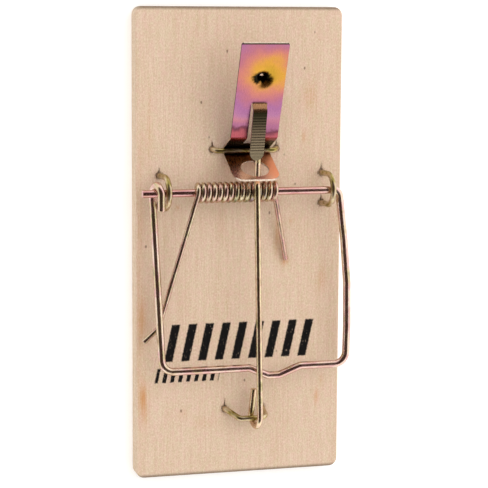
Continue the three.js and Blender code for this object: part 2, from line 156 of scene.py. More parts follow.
class TrapSizes(bpy.types.PropertyGroup):
    """Wire diameters and plate sizes."""

    strike_wire: length("Strike wire", "Diameter of the strike bar's wire", 1.6)
    spring_wire: length("Spring wire", "Diameter of the torsion spring's wire", 1.1)
    axle_staple_wire: length("Axle staple wire", "Diameter of the two axle staples", 1.2)
    crown_staple_wire: length("Locking staple wire", "Diameter of the locking bar's staple", 1.2)
    pedal_staple_wire: length("Pedal staple wire", "Diameter of the pedal's pivot wire", 1.1)
    locking_wire: length("Locking wire", "Diameter of the locking bar's wire", 1.3)
    pedal_sheet: length("Pedal sheet", "Thickness of the pedal's sheet", 0.4)
    board_corner: length("Board corner", "Radius of the board's corners", 1.8)
    board_ease: length("Board edge", "Rounding of the board's sawn edges", 0.35)
    coil_turns: bpy.props.IntProperty(
        name="Coil turns", description="Full turns of the torsion spring", default=14, min=1
    )
    wire_sides: bpy.props.IntProperty(
        name="Wire sides", description="Sides of a wire's round section", default=20, min=8
    )


class TrapColours(bpy.types.PropertyGroup):
    """Colours of wood, ink and plating."""

    wood_pale: colour("Pale wood", "Early wood between the grain lines", "#e6d0ba")
    wood_dark: colour("Dark wood", "Late wood along the grain lines", "#d9bb9b")
    # Also the tone of the painted shadow beside and at the tip of the spring's resting leg
    wood_stain_and_shadow: colour("Stain", "Resin and mineral stains", "#c8843c")
    ink: colour("Ink", "Stamped mark", "#070505")
    floor: colour("Floor", "Studio floor", "#f6f5f3")


# ---- Lines that wires and sheets follow ----


def bent(corners):
    """Points of a line bent from straight runs. A corner is (x, y, z, bend radius)."""
    points = []
    for i, (x, y, z, *bend) in enumerate(corners):
        corner = Vector((x, y, z))
        if not bend:
            points.append(corner)
            continue
        arriving = (corner - Vector(corners[i - 1][:3])).normalized()
        leaving = (Vector(corners[i + 1][:3]) - corner).normalized()
        turn = arriving.angle(leaving)
        inward = (leaving - arriving * math.cos(turn)).normalized()
        start = corner - arriving * bend[0] * math.tan(turn / 2)
        steps = max(2, math.ceil(turn / BEND_STEP))
        for k in range(steps + 1):
            angle = turn * k / steps
            along = arriving * math.sin(angle) + inward * (1 - math.cos(angle))
            points.append(start + along * bend[0])
    return points


def arc(centre, radius, from_angle, to_angle, from_x, to_x, step=BEND_STEP):
    """Points of an arc round a line along X. Angles run from +Y towards +Z."""
    steps = math.ceil(abs(to_angle - from_angle) / step)
    points = []
    for k in range(steps + 1):
        share = k / steps
        angle = from_angle + (to_angle - from_angle) * share
        y, z = centre.y + radius * math.cos(angle), centre.z + radius * math.sin(angle)
        points.append(Vector((from_x + (to_x - from_x) * share, y, z)))
    return points


def touch_angle(point, centre, radius, side):
    """Where a straight line from a point touches a circle: side -1 or +1."""
    y, z = point.y - centre.y, point.z - centre.z
    return math.atan2(z, y) + side * math.acos(radius / math.hypot(y, z))


def over_coil_radius(sizes):
    coil = sizes["strike_wire"] / 2 + COIL_GAP + sizes["spring_wire"]
    return coil + REST_GAP + sizes["locking_wire"] / 2


def valley_radius(sizes):
    return sizes["pedal_staple_wire"] / 2 + PIVOT_GAP + sizes["pedal_sheet"] / 2


def millimetres(group):
    """The lengths of a property group, in millimetres, and its counts as they are."""
    names = type(group).__annotations__
    values = {name: getattr(group, name) for name in names}
    return {n: v if isinstance(v, int) else v / MM for n, v in values.items()}


def lower_plate(sizes):
    """The lip of the pedal's lower plate, the angle where it leaves the valley, its direction."""
    lip = Vector((0, PIVOT.y - LIP_BEHIND, AXLE.z + over_coil_radius(sizes) + LIP_ABOVE_BAR))
    radius = valley_radius(sizes)
    foot = touch_angle(lip, PIVOT, radius, 1)
    start = PIVOT + Vector((0, math.cos(foot), math.sin(foot))) * radius
    along = lip - start
    along.x = 0
    return lip, foot, along.normalized()


def locking_run(sizes):
    """The angles where the locking bar meets and leaves the coil, its hook's top, and its
    height as a function of y past the coil."""
    bar = sizes["locking_wire"]
    over_crossbar = CROSSBAR + Vector((0, 0, sizes["strike_wire"] / 2 + REST_GAP + bar / 2))
    on_top = touch_angle(over_crossbar, AXLE, over_coil_radius(sizes), -1)
    lip, _, along = lower_plate(sizes)
    under_strip = lip - along * LIP_STRIP
    under_strip.z -= bar / 2 + REST_GAP + sizes["pedal_sheet"] / 2
    off_top = touch_angle(under_strip, AXLE, over_coil_radius(sizes), 1)
    fall = math.tan(math.pi / 2 - off_top)
    hook_top = over_crossbar.z + (CROWN.y - CROSSBAR.y) * math.tan(on_top - math.pi / 2)
    return on_top, off_top, hook_top, lambda y: under_strip.z - (y - under_strip.y) * fall


def left_arm(sizes):
    """The left arm's two ends: under the axle, and at the crossbar."""
    top = Vector((LEFT + LEFT_ARM_IN, AXLE.y, AXLE.z - sizes["strike_wire"] - EYE_GAP))
    return top, Vector((LEFT + LEFT_CORNER_IN, CROSSBAR.y, CROSSBAR.z))


def strike_line(sizes):
    top, corner = left_arm(sizes)
    bow_share = (AXLE.y - BOW_Y) / (AXLE.y - CROSSBAR.y)
    bow_z = AXLE.z + (CROSSBAR.z - AXLE.z) * bow_share
    notch = [(x, CROSSBAR.y + dip, CROSSBAR.z, NOTCH_BEND) for x, dip in NOTCH]
    body = bent(
        [
            (LEFT + AXLE_END_IN, AXLE.y, AXLE.z),
            (RIGHT - RIGHT_ARM_IN, AXLE.y, AXLE.z, AXLE_BEND),
            (RIGHT + BOW_OUT, BOW_Y, bow_z, BOW_RADIUS),
            (RIGHT, CROSSBAR.y, CROSSBAR.z, CORNER_BEND),
            *notch,
            (*corner, CORNER_BEND),
            tuple(top),
        ]
    )
    radius, strand = AXLE.z - top.z, LEFT + EYE_STRAND_IN
    eye = arc(AXLE, radius, -math.pi / 2, math.pi / 2, top.x, strand)
    return [*body, *eye[1:], Vector((strand, AXLE.y - EYE_TAIL, AXLE.z + radius))]


def coil_line(under_arm, resting, sizes):
    radius = sizes["strike_wire"] / 2 + COIL_GAP + sizes["spring_wire"] / 2
    whole = 2 * math.pi
    start = touch_angle(under_arm, AXLE, radius, -1) + whole
    part = (start - touch_angle(resting, AXLE, radius, 1)) % whole
    turning = part + whole * sizes["coil_turns"]
    span = turning / whole * (sizes["spring_wire"] + TURN_GAP)
    x = COIL_CENTRE_X - span / 2
    return arc(AXLE, radius, start, start - turning, x, x + span, COIL_STEP)


def spring_line(sizes):
    """The spring's whole line, and its coil's left and right ends."""
    wire = sizes["spring_wire"]
    resting = Vector((RESTING_TIP_X, RESTING_TIP_Y, wire / 2 + REST_GAP))
    top, corner = left_arm(sizes)
    arm = corner - top
    on_arm = top + arm * ((DRIVING_LEG_Y - top.y) / arm.y)
    off_arm = sizes["strike_wire"] / 2 + REST_GAP + wire / 2
    under_arm = on_arm.copy()
    coil = coil_line(under_arm, resting, sizes)
    for _ in range(LEG_PASSES):
        normal = (coil[0] - under_arm).cross(arm).normalized()
        under_arm = on_arm - Vector((0, 0, off_arm / abs(normal.z)))
        coil = coil_line(under_arm, resting, sizes)
    leg = bent([tuple(under_arm + DRIVING_TIP), (*under_arm, DRIVING_BEND), tuple(coil[0])])
    return [*leg[:-1], *coil, resting], coil[0], coil[-1]


def axle_staple_line(leg_x, lean, sizes):
    half = AXLE_STAPLE_SPAN / 2
    top = AXLE.z + sizes["strike_wire"] / 2 + REST_GAP + sizes["axle_staple_wire"] / 2
    crown = arc(Vector((0, AXLE.y, top - half)), half, 0, math.pi, leg_x, leg_x)
    for point in crown:
        point.x += lean * point.z / top
    sides = (AXLE.y + half, AXLE.y - half)
    back, front = ([Vector((leg_x, y, z)) for z in (-LEG_DEPTH, 0)] for y in sides)
    return [*back, *crown, *front[::-1]]


def square_staple_line(legs_x, leg_y, crown, wire):
    def foot(x):
        return (x, leg_y, FOOT_RISE, FOOT_BEND * wire)

    left, right = legs_x
    start, end = (left, leg_y, -LEG_DEPTH), (right, leg_y, -LEG_DEPTH)
    return bent([start, foot(left), *crown, foot(right), end])


def crown_staple_line(sizes):
    crown = [(x, CROWN.y, CROWN.z, CROWN_BEND) for x in CROWN_X]
    return square_staple_line(CROWN_LEGS_X, CROWN_LEG_Y, crown, sizes["crown_staple_wire"])


def pedal_staple_line(sizes):
    left, right = PEDAL_LEGS_X
    shoulders = (left + PEDAL_STAPLE_BEND, right - PEDAL_STAPLE_BEND)
    crown = [(x, PIVOT.y, PIVOT.z, PEDAL_STAPLE_BEND) for x in shoulders]
    wire = sizes["pedal_staple_wire"]
    return square_staple_line(PEDAL_LEGS_X, PIVOT.y + PEDAL_LEG_SET, crown, wire)


def locking_line(sizes):
    on_top, off_top, hook_top, height = locking_run(sizes)
    bearing = sizes["crown_staple_wire"] / 2 + REST_GAP + sizes["locking_wire"] / 2
    diagonal = math.sqrt(0.5)
    radius = (hook_top - CROWN.z + bearing * diagonal) / (1 + diagonal)
    slack = (radius - bearing) * diagonal
    centre = Vector((0, CROWN.y + slack, CROWN.z + slack))
    quarter = math.pi / 2
    x, y, rise = HOOK_TIP
    return [
        Vector((x, y, centre.z - radius + rise)),
        *arc(centre, radius, -quarter, -3 * quarter, HOOK_RETURN_X, HOOK_X),
        *arc(AXLE, over_coil_radius(sizes), on_top, off_top, BAR_OVER_COIL_X, BAR_OVER_COIL_X),
        Vector((*BAR_TIP, height(BAR_TIP[1]))),
    ]


# ---- Nodes ----


def fill(tree, node, inputs):
    """Sets or links a node's inputs. A node stands for its first output."""
    for key, value in inputs.items():
        if isinstance(value, bpy.types.Node):
            value = value.outputs[0]
        if isinstance(value, bpy.types.NodeSocket):
            tree.links.new(value, node.inputs[key])
        else:
            node.inputs[key].default_value = value


def add(tree, kind, settings=None, inputs=None):
    """Adds a node, with its settings, and its inputs set or linked."""
    node = tree.nodes.new(kind)
    for name, value in (settings or {}).items():
        setattr(node, name, value)
    fill(tree, node, inputs or {})
    return node


class Shades:
    """The nodes that the materials repeat, in one tree. Each method gives an output socket."""

    def __init__(self, tree):
        self.tree = tree

    def out(self, kind, settings=None, inputs=None, output=0):
        return add(self.tree, kind, settings, inputs).outputs[output]

    def attribute(self, name, output="Fac"):
        return self.out("ShaderNodeAttribute", {"attribute_name": name}, {}, output)

    def axis(self, place, name):
        return self.out("ShaderNodeSeparateXYZ", {}, {"Vector": place}, name)

    def maths(self, operation, *values):
        return self.out("ShaderNodeMath", {"operation": operation}, dict(enumerate(values)))

    def product(self, a, b):
        return self.maths("MULTIPLY", a, b)

    def vector(self, operation, *values, output=0, **named):
        inputs = {**dict(enumerate(values)), **named}
        return self.out("ShaderNodeVectorMath", {"operation": operation}, inputs, output)

    def noise(self, place, scale, detail, roughness=0.5, distortion=0, output="Fac"):
        """Noise at a place. A scale of three numbers stretches it along the axes."""
        if isinstance(scale, tuple):
            place, scale = self.out("ShaderNodeMapping", {}, {"Vector": place, "Scale": scale}), 1
        look = {"Detail": detail, "Roughness": roughness, "Distortion": distortion}
        inputs = {"Vector": place, "Scale": scale, **look}
        return self.out("ShaderNodeTexNoise", {}, inputs, output)

    def shaken(self, place, scale, detail, roughness, reach):
        """A place moved by noise, by half the reach at most along each axis."""
        cloud = self.noise(place, scale, detail, roughness, output="Color")
        centred = self.vector("SUBTRACT", cloud, (0.5, 0.5, 0.5))
        return self.vector("ADD", place, self.vector("SCALE", centred, Scale=reach))

    def span(self, value, low, high, to_low=0, to_high=1, curve="LINEAR"):
        """A value between low and high, moved to between to_low and to_high."""
        limits = {"From Min": low, "From Max": high, "To Min": to_low, "To Max": to_high}
        settings = {"interpolation_type": curve}
        return self.out("ShaderNodeMapRange", settings, {"Value": value, **limits})

    def within(self, value, low, high, soft):
        """1 between low and high and 0 outside, with soft edges."""
        rise = self.span(value, low - soft, low + soft)
        return self.product(rise, self.span(value, high + soft, high - soft))

    def near(self, place, centre, squash):
        """The distance of a place from a centre in millimetres, with X squashed."""
        at = (centre[0] * squash * MM, centre[1] * MM, 0)
        squashed = self.vector("MULTIPLY", place, (squash, 1, 1))
        return self.vector("DISTANCE", squashed, at, output="Value")

    def mixed(self, share, under, over):
        """Under at share 0, over at share 1. A colour is a socket, hex, or four numbers."""
        under, over = ((*linear(t), 1) if isinstance(t, str) else t for t in (under, over))
        inputs = {"Fac": share, "Color1": under, "Color2": over}
        return self.out("ShaderNodeMixRGB", {}, inputs)

    def ramp(self, value, stops):
        """A colour ramp through stops, each a position and a hex colour."""
        node = add(self.tree, "ShaderNodeValToRGB", {}, {"Fac": value})
        elements = node.color_ramp.elements
        elements[0].position, elements[-1].position = stops[0][0], stops[-1][0]
        for position, _ in stops[1:-1]:
            elements.new(position)
        for element, (_, tone) in zip(elements, stops):
            element.color = (*linear(tone), 1)
        return node.outputs[0]

    def bump(self, height, strength, distance):
        inputs = {"Height": height, "Strength": strength, "Distance": distance}
        return self.out("ShaderNodeBump", {}, inputs)


def wire_tree():
    """Sweeps a round section along an edge path. The mesh keeps, as "straight", the place
    each point would have if the wire were pulled straight along Z."""
    tree = bpy.data.node_groups.new("round_wire", "GeometryNodeTree")

    def stored(shape, kind, name, value):
        inputs = {"Geometry": shape, "Name": name, "Value": value}
        return add(tree, "GeometryNodeStoreNamedAttribute", {"data_type": kind}, inputs)

    def named(kind, name):
        return add(tree, "GeometryNodeInputNamedAttribute", {"data_type": kind}, {"Name": name})

    sockets = tree.interface
    sockets.new_socket("Path", in_out="INPUT", socket_type="NodeSocketGeometry")
    for name, kind in (("Wire diameter", "Float"), ("Sides", "Int"), ("Finish", "Material")):
        sockets.new_socket(name, in_out="INPUT", socket_type="NodeSocket" + kind)
    sockets.new_socket("Wire", in_out="OUTPUT", socket_type="NodeSocketGeometry")
    given = add(tree, "NodeGroupInput").outputs
    halving = {0: given["Wire diameter"], 1: 0.5}
    half = add(tree, "ShaderNodeMath", {"operation": "MULTIPLY"}, halving)
    circle = {"Resolution": given["Sides"], "Radius": half}
    section = add(tree, "GeometryNodeCurvePrimitiveCircle", {}, circle)
    here = add(tree, "GeometryNodeInputPosition")
    across = stored(section, "FLOAT_VECTOR", "section", here)
    path = add(tree, "GeometryNodeMeshToCurve", {}, {"Mesh": given["Path"]})
    run = add(tree, "GeometryNodeSplineParameter").outputs["Length"]
    lengthwise = stored(path, "FLOAT", "along", run)
    sweep = {"Curve": lengthwise, "Profile Curve": across, "Fill Caps": True}
    sweep["Scale"] = named("FLOAT", "end_scale")
    swept = add(tree, "GeometryNodeCurveToMesh", {}, sweep)
    upright = add(tree, "ShaderNodeCombineXYZ", {}, {"Z": named("FLOAT", "along")})
    adding = {0: named("FLOAT_VECTOR", "section"), 1: upright}
    straight = add(tree, "ShaderNodeVectorMath", {"operation": "ADD"}, adding)
    kept = stored(swept, "FLOAT_VECTOR", "straight", straight)
    smooth = add(tree, "GeometryNodeSetShadeSmooth", {}, {"Geometry": kept})
    real = add(tree, "GeometryNodeRealizeInstances", {}, {"Geometry": smooth})
    finish = {"Geometry": real, "Material": given["Finish"]}
    done = add(tree, "GeometryNodeSetMaterial", {}, finish)
    add(tree, "NodeGroupOutput", {}, {"Wire": done})
    return tree


def metal(name):
    """A material set up as bare metal, its shader, and the nodes of its tree."""
    material = bpy.data.materials.new(name)
    material.use_nodes = True
    shader = material.node_tree.nodes["Principled BSDF"]
    shader.inputs["Metallic"].default_value = 1
    return material, shader, Shades(material.node_tree)


# Plated wire: where the film's tones begin and end in the noise, and its thin rose runs
FILM_LOW, FILM_HIGH = 0.28, 0.72
ROSE, ROSE_FADE = "#bf7680", 2


def plated_wire(name, tones, worn, roughness, rose=()):
    """Drawn steel wire, zinc plated and yellow passivated. The film is uneven, so patches
    shift from straw to rose and green, with fine draw lines along the wire and rubbed spots
    where the grey zinc shows. Each rose run is (start, end, strength) along the wire, in
    millimetres, where the film is thinner and looks rose."""
    material, shader, at = metal(name)
    straight = at.attribute("straight", "Vector")
    film = at.noise(straight, (700, 700, 260), 3, 0.6)
    step = (FILM_HIGH - FILM_LOW) / (len(tones) - 1)
    hue = at.ramp(film, [(FILM_LOW + step * i, tone) for i, tone in enumerate(tones)])
    rubbed = at.noise(straight, 900, 6, 0.7)
    tone = at.mixed(at.span(rubbed, 0.6, 0.85), hue, worn)
    run = at.axis(straight, "Z")
    for start, end, strength in rose:
        share = at.within(run, start * MM, end * MM, ROSE_FADE * MM)
        tone = at.mixed(at.product(share, strength), tone, ROSE)
    drawn = at.noise(straight, (9000, 9000, 350), 4, 0.6)
    gloss = at.span(drawn, 0.3, 0.7, *roughness)
    relief = at.bump(drawn, 0.5, 0.00002)
    fill(at.tree, shader, {"Base Color": tone, "Roughness": gloss, "Normal": relief})
    return material


# The sheet's film. Round the cup, from its centre out
HALO_OFF, HALO_SQUASH, HALO_REACH = (0.9, -1), 0.82, 12
HALO_TONES = (
    (0, "#b08c30"), (0.12, "#bc9234"), (0.2, "#cc9640"), (0.28, "#ca8c54"), (0.38, "#c27a6c"),
    (0.5, "#b06c7c"), (0.68, "#a06892"), (0.82, "#a87294"), (1, "#bc7a84"),
)
# Down the sheet, from its top edge to its lip: rose film, a painted shade line just above the
# fold, rose over the fold, near-black painted shade below it, then brown, orange and cream as
# painted highlight towards the lip
BANDS_REACH = 38
BAND_TONES = (
    (0, "#9c6478"), (0.515, "#a06684"), (0.53, "#6a3a48"), (0.55, "#a4565e"), (0.58, "#a8505a"),
    (0.61, "#42201a"), (0.74, "#2c2210"), (0.79, "#6e3a1c"), (0.86, "#f6a058"), (1, "#ffdcc4"),
)
# Along the tongue, from its root to its tip: a painted highlight on the hump at its root, a
# painted shade line past it, then grey growing lighter towards the tip
TONGUE_TONES = (
    (0.1, "#d8a478"), (0.19, "#cc9870"), (0.25, "#2e2a1a"), (0.4, "#4e4636"), (0.6, "#766754"),
    (1, "#8c8068"),
)
# The cup's pocket, painted dark as shade, torn at its edge
POCKET_OFF, POCKET_SQUASH, POCKET_OUTER, POCKET_INNER = -0.25, 0.66, 1.7, 1.2


def iridescent_sheet():
    """Bright steel sheet, zinc plated and passivated. The film is thin on the flats, which
    look rose to violet, and thicker round the drawn cup and the bends, which look gold to
    brown. Painted shade darkens a line above the fold, the sheet below the fold nearly to
    black, and the cup's pocket; a painted highlight brightens the lower plate from orange to
    cream towards the lip, with a brighter patch on its right, and the tongue has a painted
    highlight and a painted shade line at its root."""
    material, shader, at = metal("passivated_steel_sheet")
    flat = at.attribute("sheet", "Vector")
    wavy = at.shaken(flat, 160, 4, 0.55, 0.006)
    cup_x, cup_s = CUP_AT[0], PLATE_LENGTH - CUP_AT[1]
    from_cup = at.near(wavy, (cup_x + HALO_OFF[0], cup_s + HALO_OFF[1]), HALO_SQUASH)
    halo = at.ramp(at.span(from_cup, 0, HALO_REACH * MM), HALO_TONES)
    # Down the sheet: painted shade below the fold and a painted highlight towards the lip
    down = at.span(at.axis(wavy, "Y"), 0, BANDS_REACH * MM)
    # Painted highlight: a brighter orange patch on the right of the lower plate, above its hole
    glow = at.product(at.span(at.axis(wavy, "X"), 0.001, 0.006), at.span(down, 0.74, 0.84))
    bands = at.mixed(glow, at.ramp(down, BAND_TONES), "#ffb48c")
    film = at.mixed(at.span(down, 0.45, 0.515, curve="SMOOTHSTEP"), halo, bands)
    # Painted shade: the cup's pocket turns nearly black inside a torn edge
    torn = at.shaken(flat, 1800, 3, 0.5, 0.0012)
    depth = at.near(torn, (cup_x + POCKET_OFF, cup_s), POCKET_SQUASH)
    film = at.mixed(at.span(depth, POCKET_OUTER * MM, POCKET_INNER * MM), film, "#17140a")
    # The tongue's tones, with its painted highlight and shade line at the root
    tongue = at.attribute("tongue")
    tone = at.mixed(at.span(tongue, 0, 0.1), film, at.ramp(tongue, TONGUE_TONES))
    tone = at.mixed(at.span(at.axis(flat, "Y"), 0.0004, 0.0002), tone, "#3a3216")
    scratch = at.noise(flat, (9000, 900, 1), 5, 0.65)
    dull = at.maths("MULTIPLY_ADD", glow, 0.3, at.span(scratch, 0.3, 0.72, 0.2, 0.38))
    relief = at.bump(scratch, 0.35, 0.00002)
    fill(at.tree, shader, {"Base Color": tone, "Roughness": dull, "Normal": relief})
    return material


EDGE_FILM_IN = 0.4


def sheared_edge():
    """The sheet's sheared edge: bright bare steel with fine tears across it, filmed over
    along the upper plate's long sides."""
    material, shader, at = metal("sheared_steel_edge")
    tear = at.noise(at.out("ShaderNodeTexCoord", output="Object"), 5000, 3)
    flat = at.attribute("sheet", "Vector")
    aside = at.maths("ABSOLUTE", at.maths("SUBTRACT", at.axis(flat, "X"), PEDAL_X * MM))
    long_side = at.maths("GREATER_THAN", aside, (PEDAL_WIDTH / 2 - EDGE_FILM_IN) * MM)
    upper = at.maths("LESS_THAN", at.axis(flat, "Y"), PLATE_LENGTH * MM)
    steel = at.ramp(tear, ((0.35, "#a89484"), (0.6, "#e6d6c6")))
    tone = at.mixed(at.product(long_side, upper), steel, "#4a2c3a")
    relief = at.bump(tear, 0.4, 0.00003)
    fill(at.tree, shader, {"Base Color": tone, "Normal": relief})
    shader.inputs["Roughness"].default_value = 0.34
    return material


# The stamped mark, in millimetres on the board: slanted bars over short ticks. Each row is
# its reach along x, its reach along y and the distance from bar to bar
BARS = ((-17.4, 16.2), (-25, -17), 3.7)
TICKS = ((-18.2, -4.2), (-29.5, -26.4), 1.75)
SLANT, BAR_START, BAR_SHARE = 0.22, 0.04, 0.5
BAR_SOFT, ROW_SOFT = 0.03, 0.12


def stamped(at, place):
    """How much ink lies at a place: 1 in the bars and the ticks, 0 outside."""
    x, y = at.axis(place, "X"), at.axis(place, "Y")
    leaning = at.maths("ADD", x, at.product(y, -SLANT))

    def row(x_reach, y_reach, period):
        middle = round(sum(y_reach) / 2)
        ends = [edge - middle * SLANT for edge in x_reach]
        share = at.maths("FRACT", at.maths("DIVIDE", leaning, period))
        bar = at.within(share, BAR_START, BAR_START + BAR_SHARE, BAR_SOFT)
        tall, wide = at.within(y, *y_reach, ROW_SOFT), at.within(leaning, *ends, ROW_SOFT)
        return at.product(at.product(bar, tall), wide)

    return at.maths("MAXIMUM", row(*BARS), row(*TICKS))


def sawn_wood(colours):
    """Pale sawn and sanded hardwood, such as poplar or beech: soft straight grain along the
    board, short dark pores, a few mineral streaks, with a painted shadow beside and at the tip
    of the spring's resting leg in their tone, darker fibres where the staples crush the wood,
    deepened to painted shade in the pits and splits, darker end grain with painted shade
    along the top face's ends, and a stamped ink mark taken up unevenly."""
    material = bpy.data.materials.new("sawn_pale_hardwood")
    material.use_nodes = True
    shader = material.node_tree.nodes["Principled BSDF"]
    at = Shades(material.node_tree)
    metres = at.out("ShaderNodeTexCoord", output="Object")
    place = at.vector("SCALE", metres, Scale=1 / MM)

    def grain(scale, detail, roughness=0.55):
        return at.noise(place, scale, detail, roughness, 0.3)

    broad, mottle = grain((0.22, 0.018, 0.4), 3), grain((1.1, 0.7, 1.1), 3, 0.6)
    fine, fibre = grain((3.2, 0.12, 3.2), 5, 0.65), grain((9, 0.6, 9), 4, 0.65)
    nap, pores = grain((5, 2.4, 5), 2, 0.7), grain((5.5, 0.5, 5.5), 2)
    blotch, missed = grain((0.12, 0.06, 0.3), 4), grain((2.2, 0.9, 1), 5, 0.75)
    layers, kerf = grain((1.2, 0.16, 3.4), 4, 0.6), grain((0.6, 3.6, 0.4), 2)

    tone = at.mixed(at.span(broad, 0.3, 0.7), (*colours.wood_pale, 1), (*colours.wood_dark, 1))
    tone = at.mixed(0.6, tone, at.mixed(at.span(fine, 0.34, 0.66), "#f0dcc4", "#c49c78"))
    for pattern, low, high, strength, over in (
        (fibre, 0.45, 0.68, 0.6, "#bd9670"),
        (pores, 0.66, 0.74, 0.45, "#96704c"),
        (blotch, 0.45, 0.75, 0.3, "#e2c3b4"),
        (nap, 0.5, 0.66, 0.6, "#c49c78"),
        (nap, 0.5, 0.34, 0.6, "#f6e6d2"),
    ):
        tone = at.mixed(at.span(pattern, low, high, 0, strength), tone, over)
    tone = at.mixed(0.38, tone, at.mixed(at.span(mottle, 0.35, 0.65), "#e6c4b6", "#d9cbaa"))

    # Stains, and the painted shadow beside the spring's resting leg, in the stains' tone
    stain_and_shadow_share = at.product(at.attribute("stain"), at.span(fine, 0.3, 0.6, 0.5, 1))
    tone = at.mixed(stain_and_shadow_share, tone, (*colours.wood_stain_and_shadow, 1))
    # Darker fibres where the staples crush the wood, deepened as painted shade in the pits and
    # splits
    crushed = at.product(at.attribute("crushed"), at.span(nap, 0.3, 0.65, 0.5, 1.6))
    tone = at.mixed(at.span(crushed, 0.25, 0.8), tone, "#4a2a10")
    cells = at.out("ShaderNodeMapping", {}, {"Vector": place, "Scale": (0.24, 0.15, 0.24)})
    flecks = at.out("ShaderNodeTexVoronoi", {}, {"Vector": cells, "Scale": 1}, "Distance")
    tone = at.mixed(at.span(flecks, 0.03, 0.065, 0.7, 0), tone, "#5f4028")

    cut = at.attribute("cut_face")
    saw_marks = at.mixed(0.35, layers, kerf)
    side = at.mixed(at.span(saw_marks, 0.32, 0.66), "#ead9c4", "#c2a888")
    tone = at.mixed(at.product(cut, 0.75), tone, side)
    # Darker end grain on the sides that face the board's ends, and painted shade on the top
    # face's end strips
    end_grain = at.product(at.attribute("end_grain"), at.span(saw_marks, 0.2, 0.8, 0.6, 0.95))
    tone = at.mixed(end_grain, tone, "#6f5e4c")

    inked = stamped(at, at.shaken(place, 3.2, 3, 0.7, 0.5))
    taken = at.product(at.span(missed, 0.28, 0.4, 0.35, 1), at.span(cut, 0, 0.5, 1, 0))
    tone = at.mixed(at.product(inked, taken), tone, (*colours.ink, 1))

    relief = at.maths("MULTIPLY_ADD", fine, 0.6, fibre)
    relief = at.maths("SUBTRACT", relief, at.span(pores, 0.64, 0.74, 0, 0.6))
    relief = at.maths("MULTIPLY_ADD", at.product(cut, saw_marks), 2.5, relief)
    gloss = at.span(fine, 0.3, 0.7, 0.62, 0.8)
    normal = at.bump(relief, 0.6, 0.00006)
    fill(at.tree, shader, {"Base Color": tone, "Roughness": gloss, "Normal": normal})
    shader.inputs["Specular IOR Level"].default_value = 0.25
    return material


# ---- Pieces ----


def link(name, mesh):
    made = bpy.data.objects.new(name, mesh)
    bpy.context.scene.collection.objects.link(made)
    return made


def settled(built, name):
    """The evaluated shape of an object as a plain mesh in a new object."""
    seen = built.evaluated_get(bpy.context.evaluated_depsgraph_get())
    mesh = bpy.data.meshes.new_from_object(seen)
    bpy.data.objects.remove(built)
    mesh.name = name
    return link(name, mesh)


def put(mesh, kind, name, values):
    """Gives a mesh a named value at each point."""
    attribute = mesh.attributes.new(name, kind, "POINT")
    key = "vector" if kind == "FLOAT_VECTOR" else "value"
    attribute.data.foreach_set(key, np.asarray(values, np.float32).ravel())


# The rounding of a wire's cut ends, as a share of its radius
END_EASE, END_STEPS = 0.3, (0, 20, 45, 70, 90)


def end_stations(points, radius):
    """Points and section scales of a line whose cut ends are slightly rounded."""
    head, tail = [], []
    for end, inner, made in ((points[0], points[1], head), (points[-1], points[-2], tail)):
        inward = (inner - end).normalized()
        for degrees in END_STEPS:
            angle = math.radians(degrees)
            offset = inward * (END_EASE * radius) * (1 - math.cos(angle))
            made.append((end + offset, 1 - END_EASE * (1 - math.sin(angle))))
    return head + [(point, 1) for point in points[1:-1]] + tail[::-1]


def wire_piece(name, line, diameter, sides, finish):
    """One wire, swept along a line given in millimetres above the board."""
    stations = end_stations(line, diameter / 2)
    path = bpy.data.meshes.new(name + "_path")
    points = [(point + LIFT) * MM for point, _ in stations]
    path.from_pydata(points, [(i, i + 1) for i in range(len(points) - 1)], [])
    put(path, "FLOAT", "end_scale", [scale for _, scale in stations])
    built = link(name + "_path", path)
    tree = bpy.data.node_groups.get("round_wire") or wire_tree()
    modifier = built.modifiers.new("round_wire", "NODES")
    modifier.node_group = tree
    given = {"Wire diameter": diameter * MM, "Sides": sides, "Finish": finish}
    for item in tree.interface.items_tree:
        if item.name in given:
            modifier[item.identifier] = given[item.name]
    made = settled(built, name)
    for spent in ("section", "along", "end_scale"):
        attribute = made.data.attributes.get(spent)
        if attribute:
            made.data.attributes.remove(attribute)
    return made


def set_on_body(made, body, node):
    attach(made, body)
    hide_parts(node)


# The board's top face: its grid's steps across and along, its fine step near the staple
# legs, and how near that is
GRID_X, GRID_Y, GRID_FINE, NEAR_X, NEAR_Y = 0.7, 0.8, 0.2, 1.3, 1.9
# The pits that the legs were driven into, with the wood pushed up round them
PIT_RADIUS, PIT_DEPTH = 0.8, 0.26
PILE_AT, PILE_WIDTH, PILE_HEIGHT = 1.25, 0.22, 0.05
# The splits along the grain at each leg: half width, depth, middle, and reach each way
SPLIT_WIDTH, SPLIT_DEPTH, SPLIT_AHEAD, SPLIT_REACH, SPLIT_MORE = 0.16, 0.4, 0.7, 1.7, 0.9
# The sawn sides: rows from top to bottom, an inner row under the board, and the saw's waves
SIDE_ROWS, UNDER_IN = 5, 1.5
SIDE_WAVE, SIDE_WAVE_SCALE = 0.035, 0.35
# Painted shade: a dark strip along the top face at each end of the board, its strength and its
# reach in from the edge
END_SHADE_STRENGTH, END_SHADE_REACH = 0.9, 0.45

